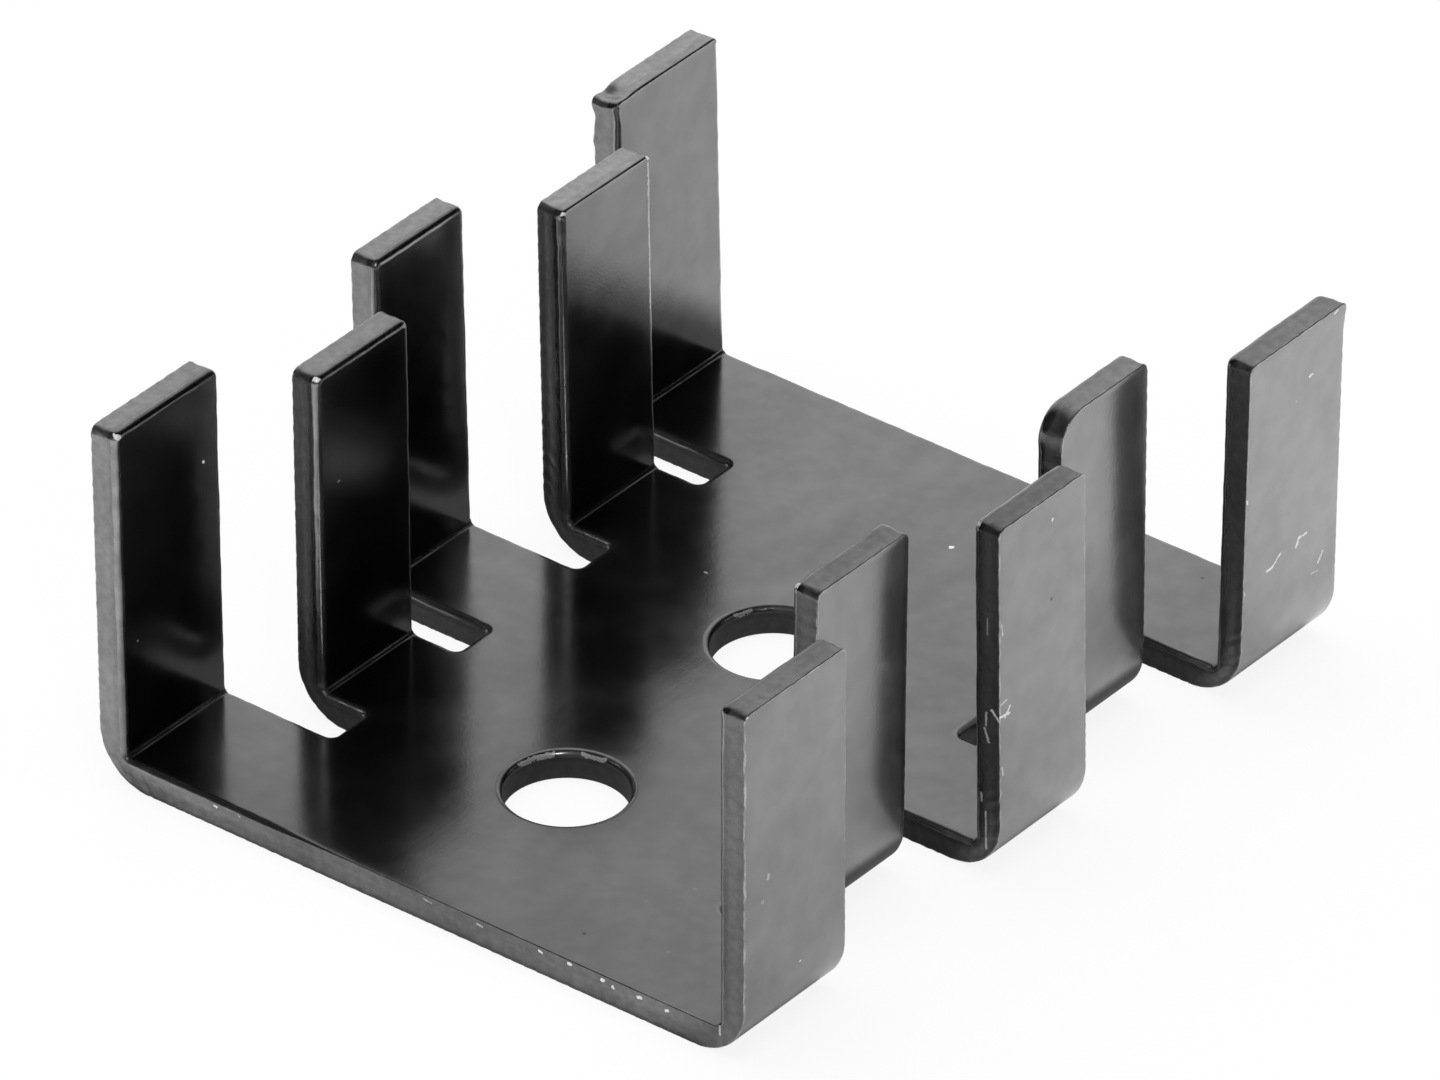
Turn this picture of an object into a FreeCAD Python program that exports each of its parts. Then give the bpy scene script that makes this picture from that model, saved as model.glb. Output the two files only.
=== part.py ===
"""Finger heat sink folded from one sheet of black anodised aluminium.

A flat web carries two rows of fins on each long side. The end and middle fins stand in the
outer row, the two between them in the inner row, and a slot parts each fin from the next.
X runs across the web, Y from front to back and Z up. The origin is the middle of the underside.
"""
import FreeCAD, Part
import math
import os
import Sketcher

DOC = FreeCAD.newDocument("finger_heat_sink")
TOLERANCE = 1e-4

# Driving dimensions in millimetres: alias, value, what it sets
DIMENSIONS = [
    ("overall_width", 25.4, "across the outside faces of the outer row"),
    ("overall_height", 12.7, "underside of the web to the fin tips"),
    ("gauge", 1.0, "thickness of the sheet"),
    ("end_fin_width", 5.0, "front and back fins, along the web"),
    ("middle_fin_width", 4.5, "the three fins between them, along the web"),
    ("slot_width", 1.6, "gap between neighbouring fins"),
    ("row_offset", 2.5, "step inwards from the outer row to the inner row"),
    ("slot_run_in", 1.75, "how far a slot runs past the inner row's inside face"),
    ("slot_corner_radius", 0.25, "corners at the closed end of a slot"),
    ("outside_bend_radius", 1.9, "outside of each fold, where the sheet draws thin"),
    ("inside_bend_radius", 0.15, "inside of each fold, pressed almost sharp"),
    ("fin_corner_radius", 0.3, "corners at each fin tip"),
    ("worn_corner_radius", 1.1, "front tip corner of the fourth fin on the right"),
    ("edge_bevel", 0.2, "flat that stands for the roll-over along the upper edge of the blank"),
    ("hole_diameter", 4.0, "device screw holes"),
    ("hole_rim_roll", 0.2, "rounding at the upper rim of a hole"),
    ("first_hole_inset", 7.25, "front edge to the first hole"),
    ("hole_spacing", 10.35, "first hole to the second"),
]

# Expressions that several sketches share
HALF_LENGTH = "(Dims.end_fin_width + 1.5 * Dims.middle_fin_width + 2 * Dims.slot_width)"
OUTER_HALF_WIDTH = "Dims.overall_width / 2"
INNER_HALF_WIDTH = "Dims.overall_width / 2 - Dims.row_offset"
WEB_HALF_WIDTH = "(Dims.overall_width / 2 - Dims.row_offset - Dims.gauge - Dims.slot_run_in)"


def make_sheet():
    """Write the driving dimensions to the spreadsheet and name each cell."""
    sheet = DOC.addObject("Spreadsheet::Sheet", "Dims")
    for row, (alias, value, meaning) in enumerate(DIMENSIONS, start=1):
        sheet.set("A%d" % row, str(value))
        sheet.setAlias("A%d" % row, alias)
        sheet.set("B%d" % row, meaning)
    DOC.recompute()
    return sheet


def origin_plane(body, role):
    """Return one of the body's own base planes by its role."""
    return next(item for item in body.Origin.OriginFeatures if item.Role == role)


def new_sketch(body, name, role, lift="0"):
    """Attach an empty sketch to a base plane, moved along its normal by an expression."""
    sketch = body.newObject("Sketcher::SketchObject", name)
    sketch.AttachmentSupport = [(origin_plane(body, role), "")]
    sketch.MapMode = "FlatFace"
    sketch.setExpression(".AttachmentOffset.Base.z", lift)
    return sketch


def named(sketch, constraint, name, expression):
    """Add a dimension to a sketch and bind it to the sheet."""
    index = sketch.addConstraint(constraint)
    sketch.renameConstraint(index, name)
    sketch.setExpression("Constraints." + name, expression)


def web_sketch(body):
    """Rectangle of the web between the closed ends of the slots."""
    sketch = new_sketch(body, "web_outline", "XY_Plane")
    across, along = 7.0, 15.0
    corners = [(-across, -along), (across, -along), (across, along), (-across, along)]
    for start, end in zip(corners, corners[1:] + corners[:1]):
        sketch.addGeometry(Part.LineSegment(FreeCAD.Vector(*start, 0), FreeCAD.Vector(*end, 0)))
    for line in range(4):
        sketch.addConstraint(Sketcher.Constraint("Coincident", line, 2, (line + 1) % 4, 1))
        direction = "Vertical" if line % 2 else "Horizontal"
        sketch.addConstraint(Sketcher.Constraint(direction, line))
    sketch.addConstraint(Sketcher.Constraint("Symmetric", 0, 1, 1, 2, -1, 1))
    named(sketch, Sketcher.Constraint("DistanceX", -1, 1, 1, 1, across), "half_width", WEB_HALF_WIDTH)
    named(sketch, Sketcher.Constraint("DistanceY", -1, 1, 1, 2, along), "half_length", HALF_LENGTH)
    return sketch


def channel_points(half_width, height, gauge, outside, inside):
    """Corner and tangent points of the right half of a folded channel, from the underside round."""
    inner = half_width - gauge
    return [
        (half_width - outside, 0.0),
        (half_width, outside),
        (half_width, height),
        (inner, height),
        (inner, gauge + inside),
        (inner - inside, gauge),
    ]


def channel_sketch(body, sheet, name, half_width_expression, lift="0"):
    """Section across the web and one pair of fins, with both folds drawn as arcs.

    The outline runs from the underside up the outside of the right fin, over its tip, down its
    inside, across the top of the web, and round the left fin the same way.
    """
    sketch = new_sketch(body, name, "XZ_Plane", lift)
    half_width = sheet.overall_width / 2
    if half_width_expression == INNER_HALF_WIDTH:
        half_width -= sheet.row_offset
    outside, inside = sheet.outside_bend_radius, sheet.inside_bend_radius
    right = channel_points(half_width, sheet.overall_height, sheet.gauge, outside, inside)
    outline = right + [(-x, z) for x, z in reversed(right)]
    centres = {
        0: (half_width - outside, outside, outside),
        4: (right[5][0], right[4][1], inside),
        6: (-right[5][0], right[4][1], inside),
        10: (outside - half_width, outside, outside),
    }
    quadrant = {0: (1.5, 2.0), 4: (1.5, 2.0), 6: (1.0, 1.5), 10: (1.0, 1.5)}
    for index, start in enumerate(outline):
        end = outline[(index + 1) % len(outline)]
        if index in centres:
            x, z, radius = centres[index]
            circle = Part.Circle(FreeCAD.Vector(x, z, 0), FreeCAD.Vector(0, 0, 1), radius)
            first, last = (turn * math.pi for turn in quadrant[index])
            sketch.addGeometry(Part.ArcOfCircle(circle, first, last))
        else:
            sketch.addGeometry(Part.LineSegment(FreeCAD.Vector(*start, 0), FreeCAD.Vector(*end, 0)))
    # Both outside arcs run with the outline, both inside arcs against it
    tangent_ends = [(11, 2, 0, 1), (0, 2, 1, 1), (3, 2, 4, 2), (4, 1, 5, 1),
                    (5, 2, 6, 2), (6, 1, 7, 1), (9, 2, 10, 1), (10, 2, 11, 1)]
    for ends in tangent_ends:
        sketch.addConstraint(Sketcher.Constraint("Tangent", *ends))
    for first, second in ((1, 2), (2, 3), (7, 8), (8, 9)):
        sketch.addConstraint(Sketcher.Constraint("Coincident", first, 2, second, 1))
    for line in (2, 5, 8, 11):
        sketch.addConstraint(Sketcher.Constraint("Horizontal", line))
    for line in (1, 3, 7, 9):
        sketch.addConstraint(Sketcher.Constraint("Vertical", line))
    sketch.addConstraint(Sketcher.Constraint("PointOnObject", 11, 2, -1))
    sketch.addConstraint(Sketcher.Constraint("Symmetric", 1, 2, 8, 2, -2))
    sketch.addConstraint(Sketcher.Constraint("Equal", 2, 8))
    sketch.addConstraint(Sketcher.Constraint("Equal", 0, 10))
    sketch.addConstraint(Sketcher.Constraint("Equal", 4, 6))
    distance_x, distance_y = "DistanceX", "DistanceY"
    named(sketch, Sketcher.Constraint(distance_x, -1, 1, 1, 2, half_width), "half_width",
          half_width_expression)
    named(sketch, Sketcher.Constraint(distance_y, -1, 1, 1, 2, sheet.overall_height), "height",
          "Dims.overall_height")
    named(sketch, Sketcher.Constraint(distance_x, 2, 2, 2, 1, sheet.gauge), "fin_gauge", "Dims.gauge")
    named(sketch, Sketcher.Constraint(distance_y, 11, 2, 5, 1, sheet.gauge), "web_gauge", "Dims.gauge")
    named(sketch, Sketcher.Constraint("Radius", 0, outside), "outside_radius",
          "Dims.outside_bend_radius")
    named(sketch, Sketcher.Constraint("Radius", 4, inside), "inside_radius", "Dims.inside_bend_radius")
    return sketch


def pad(body, name, sketch, length, reverse=False, both_ways=False):
    """Pad a sketch by an expression and check that it adds metal."""
    before = body.Shape.Volume if body.Tip else 0.0
    feature = body.newObject("PartDesign::Pad", name)
    feature.Profile = sketch
    feature.Refine = True
    feature.Reversed = reverse
    feature.Midplane = both_ways
    feature.setExpression("Length", length)
    DOC.recompute()
    if feature.Shape.Volume <= before + TOLERANCE:
        raise RuntimeError(name + " adds no metal")
    return feature


def mirror_front_to_back(body, features):
    """Repeat the front pair of fins and the front inner pair at the back of the web."""
    mirror = body.newObject("PartDesign::Mirrored", "back_fins")
    mirror.Originals = features
    mirror.MirrorPlane = (origin_plane(body, "XZ_Plane"), [""])
    mirror.Refine = True
    body.Tip = mirror
    DOC.recompute()
    return mirror


def dress_edges(body, kind, name, wanted, dimension, expression):
    """Add a fillet or chamfer on every edge of the body's tip that a test picks out."""
    base = body.Tip
    names = ["Edge%d" % number for number, edge in enumerate(base.Shape.Edges, start=1) if wanted(edge)]
    if not names:
        raise RuntimeError(name + " finds no edge")
    feature = body.newObject(kind, name)
    feature.Base = (base, names)
    feature.setExpression(dimension, expression)
    DOC.recompute()
    return feature


def fillet(body, name, wanted, radius):
    """Round the edges that a test picks out."""
    return dress_edges(body, "PartDesign::Fillet", name, wanted, "Radius", radius)


def chamfer(body, name, wanted, size):
    """Bevel the edges that a test picks out."""
    return dress_edges(body, "PartDesign::Chamfer", name, wanted, "Size", size)


def direction(edge):
    """Unit direction of a straight edge, or None for a curve."""
    if edge.Curve.TypeId != "Part::GeomLine":
        return None
    return (edge.Vertexes[-1].Point - edge.Vertexes[0].Point).normalize()


def runs_along(edge, axis):
    """Say whether a straight edge is parallel to a unit vector."""
    unit = direction(edge)
    return unit is not None and abs(abs(unit.dot(axis)) - 1.0) < TOLERANCE


def slot_corner_test(sheet):
    """Pick the upright edges at the closed ends of the slots."""
    inner_face = sheet.overall_width / 2 - sheet.row_offset - sheet.gauge
    closed_end = inner_face - sheet.slot_run_in

    def wanted(edge):
        if not runs_along(edge, FreeCAD.Vector(0, 0, 1)):
            return False
        return abs(abs(edge.CenterOfMass.x) - closed_end) < TOLERANCE

    return wanted


def worn_corner(sheet, edge):
    """Say whether an edge is the front tip corner of the fourth fin on the right."""
    front = sheet.middle_fin_width / 2 + sheet.slot_width
    centre = edge.CenterOfMass
    inner_row = centre.x < sheet.overall_width / 2 - sheet.row_offset
    return centre.x > 0 and inner_row and abs(centre.y - front) < TOLERANCE


def tip_corner_test(sheet, worn):
    """Pick the edges across the sheet at the fin tips, either the worn one or the others."""

    def wanted(edge):
        if not runs_along(edge, FreeCAD.Vector(1, 0, 0)):
            return False
        at_tip = abs(edge.CenterOfMass.z - sheet.overall_height) < TOLERANCE
        return at_tip and worn_corner(sheet, edge) == worn

    return wanted


def hole_sketch(body, sheet):
    """Centres of the two screw holes on the middle line of the web."""
    sketch = new_sketch(body, "screw_hole_centres", "XY_Plane", "Dims.gauge")
    radius = sheet.hole_diameter / 2
    front = sheet.end_fin_width + 1.5 * sheet.middle_fin_width + 2 * sheet.slot_width
    first = sheet.first_hole_inset - front
    for place in (first, first + sheet.hole_spacing):
        circle = Part.Circle(FreeCAD.Vector(0, place, 0), FreeCAD.Vector(0, 0, 1), radius)
        sketch.addConstraint(Sketcher.Constraint("PointOnObject", sketch.addGeometry(circle), 3, -2))
    sketch.addConstraint(Sketcher.Constraint("Equal", 0, 1))
    named(sketch, Sketcher.Constraint("Diameter", 0, sheet.hole_diameter), "bore", "Dims.hole_diameter")
    named(sketch, Sketcher.Constraint("DistanceY", 0, 3, -1, 1, -first), "first_centre",
          HALF_LENGTH + " - Dims.first_hole_inset")
    named(sketch, Sketcher.Constraint("DistanceY", 0, 3, 1, 3, sheet.hole_spacing), "spacing",
          "Dims.hole_spacing")
    return sketch


def drill(body, sheet, sketch):
    """Punch the two screw holes down through the web."""
    DOC.recompute()
    before = body.Tip.Shape.Volume
    hole = body.newObject("PartDesign::Hole", "screw_holes")
    hole.Profile = sketch
    hole.DepthType = "ThroughAll"
    hole.Threaded = False
    hole.setExpression("Diameter", "Dims.hole_diameter")
    DOC.recompute()
    punched = 2 * math.pi * (sheet.hole_diameter / 2) ** 2 * sheet.gauge
    if abs(before - hole.Shape.Volume - punched) > TOLERANCE * punched + TOLERANCE:
        raise RuntimeError("the screw holes do not pass through the web")
    return hole


def hole_rim_test(sheet):
    """Pick the upper rims of the screw holes."""

    def wanted(edge):
        if edge.Curve.TypeId != "Part::GeomCircle":
            return False
        same_size = abs(edge.Curve.Radius - sheet.hole_diameter / 2) < TOLERANCE
        return same_size and abs(edge.CenterOfMass.z - sheet.gauge) < TOLERANCE

    return wanted


def is_upper_skin(sheet, face):
    """Say whether a face belongs to the upper skin: web top, insides of the folds or fins."""
    surface = face.Surface
    if surface.TypeId == "Part::GeomCylinder":
        along_web = abs(abs(surface.Axis.y) - 1.0) < TOLERANCE
        return along_web and abs(surface.Radius - sheet.inside_bend_radius) < TOLERANCE
    if surface.TypeId != "Part::GeomPlane":
        return False
    centre = face.CenterOfMass
    if abs(abs(surface.Axis.z) - 1.0) < TOLERANCE:
        return abs(centre.z - sheet.gauge) < TOLERANCE
    if abs(abs(surface.Axis.x) - 1.0) > TOLERANCE:
        return False
    outer = sheet.overall_width / 2 - sheet.gauge
    insides = (outer, outer - sheet.row_offset)
    return any(abs(abs(centre.x) - inside) < TOLERANCE for inside in insides)


def upper_edge_test(body, sheet):
    """Pick the upper edge of the blank all the way round the fins and slots."""
    shape = body.Tip.Shape
    is_rim = hole_rim_test(sheet)

    def wanted(edge):
        skins = [is_upper_skin(sheet, face) for face in shape.ancestorsOfType(edge, Part.Face)]
        return skins.count(True) == 1 and len(skins) == 2 and not is_rim(edge)

    return wanted


def make_heat_sink(sheet):
    """Build the folded sheet: web, fins, slot ends, tips, holes and bevelled edges."""
    body = DOC.addObject("PartDesign::Body", "heat_sink")
    body.Label = "heat_sink"
    pad(body, "web", web_sketch(body), "Dims.gauge")
    front = channel_sketch(body, sheet, "end_fin_section", OUTER_HALF_WIDTH, HALF_LENGTH)
    end_fins = pad(body, "front_end_fins", front, "Dims.end_fin_width", reverse=True)
    inner_front = "1.5 * Dims.middle_fin_width + Dims.slot_width"
    inner = channel_sketch(body, sheet, "inner_fin_section", INNER_HALF_WIDTH, inner_front)
    inner_fins = pad(body, "front_inner_fins", inner, "Dims.middle_fin_width", reverse=True)
    mirror_front_to_back(body, [end_fins, inner_fins])
    middle = channel_sketch(body, sheet, "middle_fin_section", OUTER_HALF_WIDTH)
    pad(body, "middle_fins", middle, "Dims.middle_fin_width", both_ways=True)
    fillet(body, "slot_corners", slot_corner_test(sheet), "Dims.slot_corner_radius")
    fillet(body, "tip_corners", tip_corner_test(sheet, False), "Dims.fin_corner_radius")
    fillet(body, "worn_tip_corner", tip_corner_test(sheet, True), "Dims.worn_corner_radius")
    drill(body, sheet, hole_sketch(body, sheet))
    fillet(body, "hole_rims", hole_rim_test(sheet), "Dims.hole_rim_roll")
    chamfer(body, "upper_edges", upper_edge_test(body, sheet), "Dims.edge_bevel")
    return body


def check_document():
    """Stop if any object of the document failed to build."""
    for item in DOC.Objects:
        if "Invalid" in item.State or "Error" in item.State:
            raise RuntimeError(item.Name + " failed to build")


def check_and_write(body):
    """Stop if the solid is missing, broken or in pieces, and write it otherwise."""
    shape = body.Shape
    if shape.isNull() or not shape.isValid() or len(shape.Solids) != 1:
        raise RuntimeError(body.Label + " is not one valid solid")
    os.makedirs("parts", exist_ok=True)
    shape.exportStep("parts/" + body.Label + ".step")
    box = shape.BoundBox
    print(body.Label, "faces", len(shape.Faces), "volume", round(shape.Volume, 3))
    print("box", [round(side, 3) for side in (box.XMin, box.XMax, box.YMin, box.YMax, box.ZMin, box.ZMax)])


SHEET = make_sheet()
HEAT_SINK = make_heat_sink(SHEET)
check_document()
check_and_write(HEAT_SINK)
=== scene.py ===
"""Looks of a finger heat sink folded from black anodised aluminium sheet.

The blank is drawn flat, its cut edges are rolled and sheared, and the whole is folded up as the
press does it. Lengths are in millimetres until a mesh is written, and angles in degrees.
"""
import logging
import math
from dataclasses import dataclass, field
from enum import Enum

import bpy
import numpy as np
from mathutils import Matrix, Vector
from mathutils.geometry import delaunay_2d_cdt


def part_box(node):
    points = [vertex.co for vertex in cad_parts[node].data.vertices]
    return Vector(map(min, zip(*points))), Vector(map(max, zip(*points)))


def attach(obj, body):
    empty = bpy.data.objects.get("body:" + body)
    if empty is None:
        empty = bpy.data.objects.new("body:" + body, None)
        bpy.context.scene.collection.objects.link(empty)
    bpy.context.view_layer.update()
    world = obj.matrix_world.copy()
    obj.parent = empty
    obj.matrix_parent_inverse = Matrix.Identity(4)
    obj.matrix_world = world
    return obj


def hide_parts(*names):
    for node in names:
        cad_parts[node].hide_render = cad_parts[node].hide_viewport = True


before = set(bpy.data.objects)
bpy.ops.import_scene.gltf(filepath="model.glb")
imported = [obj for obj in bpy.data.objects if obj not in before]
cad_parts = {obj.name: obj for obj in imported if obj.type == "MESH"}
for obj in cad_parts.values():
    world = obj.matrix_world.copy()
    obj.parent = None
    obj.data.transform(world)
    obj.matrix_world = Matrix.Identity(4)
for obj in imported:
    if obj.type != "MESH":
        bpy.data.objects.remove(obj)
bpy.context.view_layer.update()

MM = 0.001
LOG = logging.getLogger("heat_sink")
Node = bpy.types.Node
Socket = bpy.types.NodeSocket
Tree = bpy.types.NodeTree


class Side(Enum):
    """Side of the web that a fin stands on, as the sign of X."""

    LEFT = -1
    RIGHT = 1


class Row(Enum):
    """How far a fin's row is stepped in from the outer row, in row offsets."""

    OUTER = 0
    INNER = 1


class Skin(Enum):
    """Material index of each kind of surface on the sheet."""

    ROLLED = 0
    SHEARED = 1


def smooth_step(value: np.ndarray) -> np.ndarray:
    """Ease from 0 to 1: three times the square less twice the cube of the clipped value."""
    clipped = np.clip(value, 0.0, 1.0)
    return clipped * clipped * (3.0 - 2.0 * clipped)


def ripple(along: np.ndarray, seed: int, wavelength: float) -> np.ndarray:
    """Irregular wave along a line.

    Seven sines of random phase are added, each shorter than the last by a third, and the sum is
    scaled to about plus or minus one.

    Args:
        along: Distance along the line, one value for each point.
        seed: Seed of the random phases.
        wavelength: Length of the longest wave, in the same unit as along.

    Returns:
        The height of the wave at each point.
    """
    random = np.random.default_rng(seed)
    order = np.arange(7)
    lengths = wavelength * 0.67 ** order * random.uniform(0.85, 1.15, 7)
    phases = random.uniform(0.0, math.tau, 7)
    waves = np.sin(math.tau * along[..., None] / lengths + phases) * 0.85 ** order
    return waves.sum(axis=-1) / 2.2


@dataclass(frozen=True)
class SheetSizes:
    """Driving sizes of the folded sheet; width, length and height come from the frame."""

    width: float
    length: float
    height: float
    gauge: float = 1.0
    end_fin: float = 5.0
    slot: float = 1.6
    row_offset: float = 2.5
    slot_run_in: float = 1.75
    slot_corner: float = 0.25
    inside_bend: float = 0.15
    hole_radius: float = 2.0
    first_hole_inset: float = 7.25
    hole_spacing: float = 10.35

    @classmethod
    def from_frame(cls, node: str) -> "SheetSizes":
        """Read the outside sizes off a node's box."""
        low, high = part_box(node)
        width, length, height = (high - low) / MM
        return cls(width=width, length=length, height=height)

    @property
    def web_half_width(self) -> float:
        """Middle of the web to the closed end of a slot."""
        return self.width / 2 - self.row_offset - self.gauge - self.slot_run_in

    @property
    def middle_fin(self) -> float:
        """Width of the three fins between the end fins."""
        return (self.length - 2 * self.end_fin - 4 * self.slot) / 3

    def holes(self) -> list[tuple[float, float]]:
        """Centres of the two screw holes."""
        first = self.first_hole_inset - self.length / 2
        return [(0.0, first), (0.0, first + self.hole_spacing)]


@dataclass(frozen=True)
class Fin:
    """One fin: where it stands, how it left the press and wore, and painted light on its cuts."""

    side: Side
    row: Row
    front: float
    back: float
    outside_bend: float
    lean: float
    growth: float
    tip_dye_and_painted_light: float
    front_dye_and_painted_light: float
    front_corner: float
    back_corner: float

    def outer_face(self, sizes: SheetSizes) -> float:
        """Distance from the middle plane to the fin's outside face."""
        return sizes.width / 2 - self.row.value * sizes.row_offset


@dataclass(frozen=True)
class Blow:
    """A knock that has moved metal: every point near its centre shifts, less with distance."""

    centre: tuple[float, float, float]
    reach: tuple[float, float, float]
    shift: tuple[float, float, float]

    def move(self, points: np.ndarray) -> np.ndarray:
        """Return the points shifted by the blow, fading as a bell curve of scaled distance."""
        scaled = (points - np.array(self.centre)) / np.array(self.reach)
        weight = np.exp(-np.sum(scaled * scaled, axis=1))
        return points + weight[:, None] * np.array(self.shift)


@dataclass
class Loop:
    """A closed edge of the flat blank, with the metal on its left.

    The points are in the flat plane, across by along, and inward points into the metal.
    """

    points: np.ndarray
    inward: np.ndarray
    roll: float
    is_hole: bool = False

    @property
    def travel(self) -> np.ndarray:
        """Distance along the loop at each point."""
        steps = np.linalg.norm(np.roll(self.points, -1, axis=0) - self.points, axis=1)
        return np.concatenate([[0.0], np.cumsum(steps)[:-1]])

    def offset(self, inset: np.ndarray | float) -> np.ndarray:
        """Points moved into the metal along their own normals."""
        return self.points + self.inward * np.reshape(inset, (-1, 1))


@dataclass
class Blank:
    """The flat sheet before it is folded, and the lines that its mesh follows."""

    sizes: SheetSizes
    fins: list[Fin]
    grid: float = 0.3
    edge_grid: float = 0.125
    fold_steps: int = 20
    fold_length: float = 1.9
    arc_steps: int = 8
    hole_steps: int = 112
    edge_roll: float = 0.2
    hole_roll: float = 0.2
    margin: float = 0.04
    right_slot_shifts: tuple[float, ...] = (0.4, 0.2, 0.2, 0.2)

    def zones(self, fin: Fin) -> tuple[float, float, float]:
        """Distances from the middle of the flat blank to the lines of one fin.

        Args:
            fin: The fin.

        Returns:
            Where its fold starts, where the fold ends and where the fin's tip is.
        """
        inner_face = fin.outer_face(self.sizes) - self.sizes.gauge
        fold_start = inner_face - self.sizes.inside_bend
        fold_end = fold_start + self.fold_length
        tip = fold_end + self.sizes.height + fin.growth - self.sizes.gauge - self.sizes.inside_bend
        return fold_start, fold_end, tip

    def lines_across(self, fin: Fin, step: float) -> np.ndarray:
        """Mesh lines from the web to a fin's tip, close together over its fold.

        Args:
            fin: The fin.
            step: Distance between lines on flat stretches.

        Returns:
            Distances from the middle of the blank, in rising order.
        """
        fold_start, fold_end, tip = self.zones(fin)
        web = self.sizes.web_half_width
        root = np.linspace(web, fold_start, max(2, round((fold_start - web) / step)) + 1)
        fold = np.linspace(fold_start, fold_end, self.fold_steps + 1)
        blade = np.linspace(fold_end, tip, round((tip - fold_end) / step) + 1)
        return np.concatenate([root, fold[1:], blade[1:]])

    def corners(self) -> list[tuple[float, float, float, Fin]]:
        """Corners of the outline, anticlockwise.

        Returns:
            Place across and along, radius, and the fin that each corner belongs to.
        """
        web = self.sizes.web_half_width
        found = []
        for side in (Side.RIGHT, Side.LEFT):
            sign = side.value
            is_right = side is Side.RIGHT
            slot_ends = [sign * (web + is_right * shift) for shift in self.right_slot_shifts]
            fins = sorted((f for f in self.fins if f.side is side), key=lambda f: sign * f.front)
            for place, fin in enumerate(fins):
                tip = sign * self.zones(fin)[2]
                ends = [(fin.front, fin.front_corner), (fin.back, fin.back_corner)][::sign]
                if place > 0:
                    found.append((slot_ends[place - 1], ends[0][0], self.sizes.slot_corner, fin))
                found += [(tip, end, radius, fin) for end, radius in ends]
                if place < len(fins) - 1:
                    found.append((slot_ends[place], ends[1][0], self.sizes.slot_corner, fin))
        return found

    def straight(self, start: np.ndarray, end: np.ndarray, fins: tuple[Fin, Fin]) -> np.ndarray:
        """Points strictly between two ends of a straight edge.

        Args:
            start: First end, on the flat plane.
            end: Second end.
            fins: The fins whose fold lines an edge across the blank has to follow.

        Returns:
            The points in order. An edge along the blank is divided evenly.
        """
        run = end - start
        if abs(run[1]) > abs(run[0]):
            count = max(2, round(abs(run[1]) / self.edge_grid))
            share = np.linspace(0.0, 1.0, count + 1)[1:-1]
            return start + share[:, None] * run
        low, high = sorted((start[0], end[0]))
        web = self.sizes.web_half_width
        stations = [np.linspace(-web, web, round(2 * web / self.edge_grid) + 1)]
        stations += [fin.side.value * self.lines_across(fin, self.edge_grid) for fin in fins]
        across = np.unique(np.round(np.concatenate(stations), 6))
        across = across[(across > low + self.margin) & (across < high - self.margin)]
        if run[0] < 0:
            across = across[::-1]
        return np.column_stack([across, start[1] + (across - start[0]) / run[0] * run[1]])

    def outline(self) -> Loop:
        """Edge of the blank: straight edges joined by an arc at every corner.

        Returns:
            The edge as one loop, anticlockwise.
        """
        corners = self.corners()
        places = np.array([corner[:2] for corner in corners])
        points, inward = [], []
        for index, (across, along, radius, fin) in enumerate(corners):
            here = np.array([across, along])
            before, after = places[index - 1], places[(index + 1) % len(corners)]
            come = (here - before) / np.linalg.norm(here - before)
            leave = (after - here) / np.linalg.norm(after - here)
            turn = 1.0 if come[0] * leave[1] - come[1] * leave[0] > 0 else -1.0
            centre = here - come * radius + leave * radius
            share = np.linspace(0.0, math.pi / 2, self.arc_steps + 1)[:, None]
            spoke = -leave * np.cos(share) + come * np.sin(share)
            points.append(centre + radius * spoke)
            inward.append(-turn * spoke)
            following = corners[(index + 1) % len(corners)]
            start, end = here + leave * radius, after - leave * following[2]
            between = self.straight(start, end, (fin, following[3]))
            points.append(between)
            left = np.array([-leave[1], leave[0]])
            inward.append(np.tile(left, (len(between), 1)))
        return Loop(np.vstack(points), np.vstack(inward), self.edge_roll)

    def hole(self, centre: tuple[float, float]) -> Loop:
        """Rim of a screw hole, clockwise so that the metal is on its left.

        Args:
            centre: Middle of the hole on the flat plane.

        Returns:
            The rim as one loop.
        """
        turn = -np.linspace(0.0, math.tau, self.hole_steps, endpoint=False)
        spoke = np.column_stack([np.cos(turn), np.sin(turn)])
        points = np.array(centre) + self.sizes.hole_radius * spoke
        return Loop(points, spoke, self.hole_roll, is_hole=True)

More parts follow.
